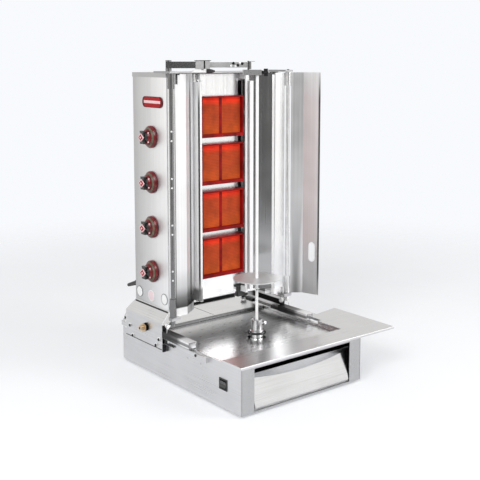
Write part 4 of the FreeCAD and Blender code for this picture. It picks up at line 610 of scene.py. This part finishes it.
def gasKnob(number, z):
    middle = (knobLook["wallX"], knobLook["axisY"], z)
    outward = (-1, 0, 0)

    def out(distance):
        return knobLook["wallX"] - distance

    skirt = bmesh.new()
    addTurned(skirt, middle, outward, [(1, 9), (1, 35.8), (2, 37), (6, 37), (7.4, 36.2), (11.4, 32), (11.4, 28),
                                       (16.8, 26.8), (18.4, 26.8), (24, 23.4), (26, 21), (26, 9)], True, 56)
    finishPiece(f"knobSkirt{number}", skirt, "redPhenolic", f"knob_{number}", f"knob_skirt_{number}")
    scale = bmesh.new()
    addTurned(scale, middle, outward, [(11, 27.4), (11, 31.4), (11.8, 31.7), (16.6, 27.6), (16.6, 27)], True, 56)
    finishPiece(f"knobScale{number}", scale, "oliveScale", f"knob_{number}")
    grip = bmesh.new()
    made = bmesh.ops.create_cube(grip, size=1.0)["verts"]
    bmesh.ops.scale(grip, vec=(0.012, 0.025, 0.043), verts=made)
    cut = bmesh.ops.bisect_plane(grip, geom=grip.verts[:] + grip.edges[:] + grip.faces[:], plane_co=(0, 0, 0),
                                 plane_no=(0, 0, 1))["geom_cut"]
    waist = [item for item in cut if isinstance(item, bmesh.types.BMVert)]
    bmesh.ops.scale(grip, vec=(1.0, 0.42, 1.0), verts=waist)
    bmesh.ops.translate(grip, vec=Vector((out(32), middle[1], z)) / 1000, verts=grip.verts)
    bmesh.ops.bevel(grip, geom=grip.edges[:], offset=0.0016, segments=2, profile=0.6, affect="EDGES")
    addTurned(grip, middle, outward, [(25.6, 10), (25.6, 19), (27, 18), (32, 7), (38.6, 6), (39, 5)])
    finishPiece(f"knobGrip{number}", grip, "blackGlossPlastic", f"knob_{number}",
                f"knob_grip_{number}")
    borderAndHighlights = bmesh.new()
    addDiamond(borderAndHighlights, (out(40), middle[1], z), 2.8, 17, 14)
    # two pale dots on the cone, set where its gloss shows highlights: painted highlights
    for side in (-1, 1):
        addTurned(borderAndHighlights, (out(22.6), middle[1] - 18, z + side * 14.5), outward, [(0, 3.2), (2.2, 3), (3, 2)],
                  segments=16)
    finishPiece(f"knobBorderAndHighlights{number}", borderAndHighlights, "palePrint", f"knob_{number}")
    pointer = bmesh.new()
    addDiamond(pointer, (out(41.6), middle[1], z), 1.2, 12.5, 10.2)
    finishPiece(f"knobPointer{number}", pointer, "redPrint", f"knob_{number}")
    dot = bmesh.new()
    addDiamond(dot, (out(42.5), middle[1], z), 1, 5.4, 4.4)
    finishPiece(f"knobDot{number}", dot, "palePrint", f"knob_{number}")


for number in range(1, knobLook["count"] + 1):
    gasKnob(number, knobLook["firstZ"] + (number - 1) * knobLook["pitch"])

# Bare badge plate and three bare round plates on the tower's left wall
badgeLook = {"y": (89, 209), "z": (900, 936), "corner": 16}


def badgePart(name, insets, low, high, finish):
    shape = bmesh.new()
    y, z = badgeLook["y"], badgeLook["z"]
    made = bmesh.ops.create_cube(shape, size=1.0)["verts"]
    sizes = (high - low, y[1] - y[0] - 2 * insets[0], z[1] - z[0] - 2 * insets[1])
    bmesh.ops.scale(shape, vec=Vector(sizes) / 1000, verts=made)
    bmesh.ops.translate(shape, vec=Vector((-235 - (low + high) / 2, sum(y) / 2, sum(z) / 2)) / 1000, verts=made)
    corners = [edge for edge in shape.edges if abs(edge.verts[0].co.x - edge.verts[1].co.x) > 1e-5]
    bmesh.ops.bevel(shape, geom=corners, offset=(badgeLook["corner"] - insets[1]) / 1000, segments=6, profile=0.5,
                    affect="EDGES")
    finishPiece(name, shape, finish, "tower")


badgePart("badgeRim", (0, 0), 0.1, 2.2, "darkRedPrint")
badgePart("badgeFace", (9, 1.6), 2.0, 3.0, "redPrint")
stripe = bmesh.new()
addBox(stripe, (-238.5, 100, 914), (-237.6, 198, 923), 0, 0.35)
finishPiece("badgeStripe", stripe, "palePrint", "tower")
for number, (y, z, finish) in enumerate([(244, 265.7, "whitePrint"), (171.2, 265.5, "blushPrint"),
                                         (92.1, 269.1, "whitePrint")], 1):
    rim = bmesh.new()
    addTurned(rim, (-235.1, y, z), (-1, 0, 0), [(0, 17), (0, 19), (0.9, 19), (1.2, 18.2), (1.2, 17)], True)
    finishPiece(f"roundPlateRim{number}", rim, "whitePrint" if number == 2 else "greyPrint", "tower")
    plate = bmesh.new()
    addTurned(plate, (-235.1, y, z), (-1, 0, 0), [(0, 17), (0.7, 17), (0.8, 16.4)])
    finishPiece(f"roundPlate{number}", plate, finish, "tower")

# Top arm: cover plate, dark joint, lever and black knob on the clamp; screws on the sliding tube; wing nut
armLook = {"post": (-238, 50, 1040), "turn": -32.57}
armAlong = Vector((math.cos(math.radians(armLook["turn"])), math.sin(math.radians(armLook["turn"])), 0))
armAcross = Vector((-armAlong.y, armAlong.x, 0))


def onArm(along, across=0.0, z=0.0):
    return Vector(armLook["post"]) + armAlong * along + armAcross * across + Vector((0, 0, z))


# a box lying along the arm: from and to are (along, across, up)
def addArmBox(shape, low, high, rounding=0.5):
    made = bmesh.ops.create_cube(shape, size=1.0)["verts"]
    bmesh.ops.scale(shape, vec=(Vector(high) - Vector(low)) / 1000, verts=made)
    bmesh.ops.rotate(shape, cent=(0, 0, 0), matrix=Matrix.Rotation(math.radians(armLook["turn"]), 3, "Z"), verts=made)
    middle = (Vector(low) + Vector(high)) / 2
    bmesh.ops.translate(shape, vec=onArm(*middle) / 1000, verts=made)
    if rounding:
        edges = list({edge for vert in made for edge in vert.link_edges})
        bmesh.ops.bevel(shape, geom=edges, offset=rounding / 1000, segments=2, profile=0.6, affect="EDGES")


cover = bmesh.new()
addArmBox(cover, (82, -15, 12.2), (134, 12, 14))
addArmBox(cover, (110.5, -14.4, -12.5), (115, -13.1, 12.2), 0.3)
finishPiece("clampCover", cover, "darkSteel", "arm")
lever = bmesh.new()
addTurned(lever, onArm(74, -16, -21), armAlong, [(0, 3), (1, 4), (46, 4), (47, 3)], segments=20)
finishPiece("clampLever", lever, "zincWithPaintedHighlight", "arm")
knob = bmesh.new()
addTurned(knob, onArm(118, -16, -20), armAlong, [(0, 5), (1, 7), (14, 6.6), (26, 3.4), (28, 1.5)], segments=28)
finishPiece("clampKnob", knob, "blackNylon", "arm")
screws = bmesh.new()
for along, up in ((205, 4.5), (219, -1.5), (233, 3.5)):
    addScrew(screws, onArm(along, -8.4, up), -armAcross, 4.6, 3.4)
finishPiece("sliderScrews", screws, "darkSteel", "arm_slider")
caps = bmesh.new()
for along, up in ((198, -3.5), (212, -4.5), (226, 5)):
    addScrew(caps, onArm(along, -8.4, up), -armAcross, 3.6, 2.6)
finishPiece("sliderPins", caps, "zincWithPaintedHighlight", "arm_slider")
flange = bmesh.new()
addArmBox(flange, (255.2, -13, -14), (262, 12, 11))
addArmBox(flange, (262, -12, 9.5), (274, 11, 11))
finishPiece("endFlange", flange, "turnedBar", "arm_slider")
wingNut = bmesh.new()
addTurned(wingNut, onArm(296, 0, -24.5), armAlong, [(0, 5.4), (1, 6.2), (5, 6), (12, 4.6), (16, 3)], segments=24)
for side in (-1, 1):
    addArmBox(wingNut, (298, side * 8 - 4.5, -27.4), (304, side * 8 + 4.5, -21.5), 1.6)
finishPiece("wingNut", wingNut, "darkSteel", "arm_slider")

# Tower: black strips painted as the shadow gaps under the cap's front edge and above the left skirt, pins and the
# hardware at the ends of the right hinge rod
shadowGaps = bmesh.new()
addBox(shadowGaps, (-231, 65.4, 1009.2), (231, 67.9, 1011.6), 0, 0.4)
addBox(shadowGaps, (-240.2, 68, 228.4), (-235.8, 266, 232.6), 0, 0.4)
finishPiece("paintedShadowGaps", shadowGaps, "blackRubber", "tower")
pin = bmesh.new()
addTurned(pin, (-225.6, 22.6, 979), (0, 0, 1), [(0, 1.2), (1, 2.1), (31, 2.1), (32, 1.2)], segments=16)
addTurned(pin, (-227, 22.6, 1010), (1, 0, 0), [(0, 1.2), (1, 2), (11, 2), (12, 1.2)], segments=16)
finishPiece("wingPin", pin, "darkSteel", "left_wing")
nuts = bmesh.new()
for low, high, radius in ((996, 1007, 9.6), (984, 989, 10.6), (262, 273, 9.8), (238, 248, 9.8), (276, 279, 10.8)):
    addTurned(nuts, (245, 27, low), (0, 0, 1), [(0, radius * 0.9), (1, radius), (high - low - 1, radius),
                                                (high - low, radius * 0.9)], segments=6)
addTurned(nuts, (245, 27, 1012), (0, 0, 1), [(0, 6), (6, 6), (9, 4), (10, 2)], segments=20)
finishPiece("hingeNuts", nuts, "darkSteel", "tower")
washers = bmesh.new()
for low, high, radius in ((974, 983, 9.8), (990, 995, 9.8), (280, 286, 10.2), (250, 260, 10.2), (228, 236, 10.2)):
    addTurned(washers, (245, 27, low), (0, 0, 1), [(0, 7.4), (0, radius - 1), (1, radius), (high - low - 1, radius),
                                                   (high - low, radius - 1), (high - low, 7.4)], True, 28)
finishPiece("hingeWashers", washers, "zincWithPaintedHighlight", "tower")
rodScrews = bmesh.new()
for number in range(knobLook["count"]):
    for side in (-1, 1):
        z = knobLook["firstZ"] + number * knobLook["pitch"] + 12 + side * 15
        addScrew(rodScrews, (-248.6, 21.3, z), (-0.56, -0.83, 0), 3, 2)
finishPiece("rodScrews", rodScrews, "zincWithPaintedHighlight", "tower")
# a thin white strip along the right reflector's hem: painted highlight
hemHighlight = bmesh.new()
bmesh.ops.create_cube(hemHighlight, size=1.0)
bmesh.ops.scale(hemHighlight, vec=(0.0082, 0.0008, 0.776), verts=hemHighlight.verts)
bmesh.ops.rotate(hemHighlight, cent=(0, 0, 0), matrix=Matrix.Rotation(math.radians(-36.1), 3, "Z"), verts=hemHighlight.verts)
bmesh.ops.translate(hemHighlight, vec=(0.18405, 0.0335, 0.616), verts=hemHighlight.verts)
bmesh.ops.bevel(hemHighlight, geom=hemHighlight.edges[:], offset=0.0002, segments=2, profile=0.6, affect="EDGES")
finishPiece("reflectorHemHighlight", hemHighlight, "zincWithPaintedHighlight", "tower")
foot = bmesh.new()
addBox(foot, (80, 100, 222), (125, 118, 258), 0, 2)
addBox(foot, (70, 100, 258), (125, 112, 268), 0, 2)
finishPiece("burnerFoot", foot, "blackNylon", "tower")

# Carriage: black strips painted as the shadow under each skirt's lower edge, black end plates painted as the shade
# inside the skirts' front ends, screws, and the nuts on them
skirtShade = bmesh.new()
for side in (-1, 1):
    x = sorted((side * 264.05, side * 264.7))
    addBox(skirtShade, (x[0], 66, 108.4), (x[1], 290, 110.6), 0, 0.2)
    x = sorted((side * 251, side * 264.6))
    addBox(skirtShade, (x[0], 59.5, 103), (x[1], 63.6, 128), 0, 0.5)
    x = sorted((side * 243, side * 264.6))
    addBox(skirtShade, (x[0], 59.5, 174), (x[1], 63.6, 192), 0, 0.5)
finishPiece("skirtPaintedShade", skirtShade, "darkSteel", "tower")
heads = bmesh.new()
for side in (-1, 1):
    for y, z in ((264, 147), (246.7, 115.5), (83.5, 141.5), (102, 118)):
        addTurned(heads, (side * 264.1, y, z), (side, 0, 0), [(0, 4), (0, 7.2), (1, 7.2), (1.6, 6.4), (1.6, 4)], True, 28)
    addTurned(heads, (side * 247, 59.4, 191), (0, -1, 0), [(0, 9.4), (2, 9.6), (5, 8.2), (7, 4.5), (7.4, 2)],
              segments=32)
finishPiece("skirtScrews", heads, "zincWithPaintedHighlight", "tower", "bracket_screws")
# black domes set off-centre and low in each ring-shaped screw head: partly the socket, partly painted shade on the
# head's shaded side
socketShade = bmesh.new()
for side in (-1, 1):
    for y, z in ((264, 147), (246.7, 115.5), (83.5, 141.5), (102, 118)):
        addTurned(socketShade, (side * 265, y - 1.2, z - 1), (side, 0, 0), [(0, 5.4), (1.6, 5.2), (3.4, 4.2), (4, 3)], segments=24)
finishPiece("screwSocketsAndShade", socketShade, "blackNylon", "tower")
plugs = bmesh.new()
for side in (-1, 1):
    x = sorted((side * 238.6, side * 264.4))
    addBox(plugs, (x[0], -89.4, 152.6), (x[1], -88.1, 172.4), 0, 0.4)
finishPiece("sledPlugs", plugs, "bracketSheet", "tower")
bolts = bmesh.new()
for side in (-1, 1):
    for z in (132, 154, 174):
        addTurned(bolts, (side * 257, 290.6, z), (0, 1, 0), [(0, 7), (1, 8), (8, 8), (10, 6)], segments=6)
finishPiece("backBolts", bolts, "turnedBar", "tower")

# Base: back edge of the deck, pan collar lip, rail stops and rivets
edge = bmesh.new()
# a black strip along the deck's back edge, where a dark shadow line runs: painted shade
addBox(edge, (-246, 329, 151.1), (246, 333, 159), 0, 0.8)
addTurned(edge, (0, -102, 158.6), (0, 0, 1), [(0, 27), (0, 30.6), (1.6, 31), (3, 30.2), (3, 27)], True, 56)
for side in (-1, 1):
    x = sorted((side * 262.1, side * 263))
    addBox(edge, (x[0], -4, 133.5), (x[1], 38, 140), 0, 0.4)
    addTurned(edge, (side * 262.1, -121, 141), (side, 0, 0), [(0, 4.6), (2, 4.4), (2.6, 3)], segments=20)
finishPiece("deckEdge", edge, "blackRubber", "base")
rivets = bmesh.new()
for side in (-1, 1):
    for y, z in ((-60, 113), (-130, 114)):
        addTurned(rivets, (side * 250.1, y, z), (side, 0, 0), [(0, 3.4), (1, 3.2), (2, 1.8)], segments=20)
finishPiece("baseRivets", rivets, "turnedBar", "base")
crossPin = bmesh.new()
addTurned(crossPin, (-2.6, -105.4, 305), (-0.62, -0.78, 0), [(0, 2.2), (1.2, 2.2), (1.6, 1.8)], segments=20)
finishPiece("spitPin", crossPin, "blackNylon", "spit")
print("pieces made")

bpy.context.view_layer.update()
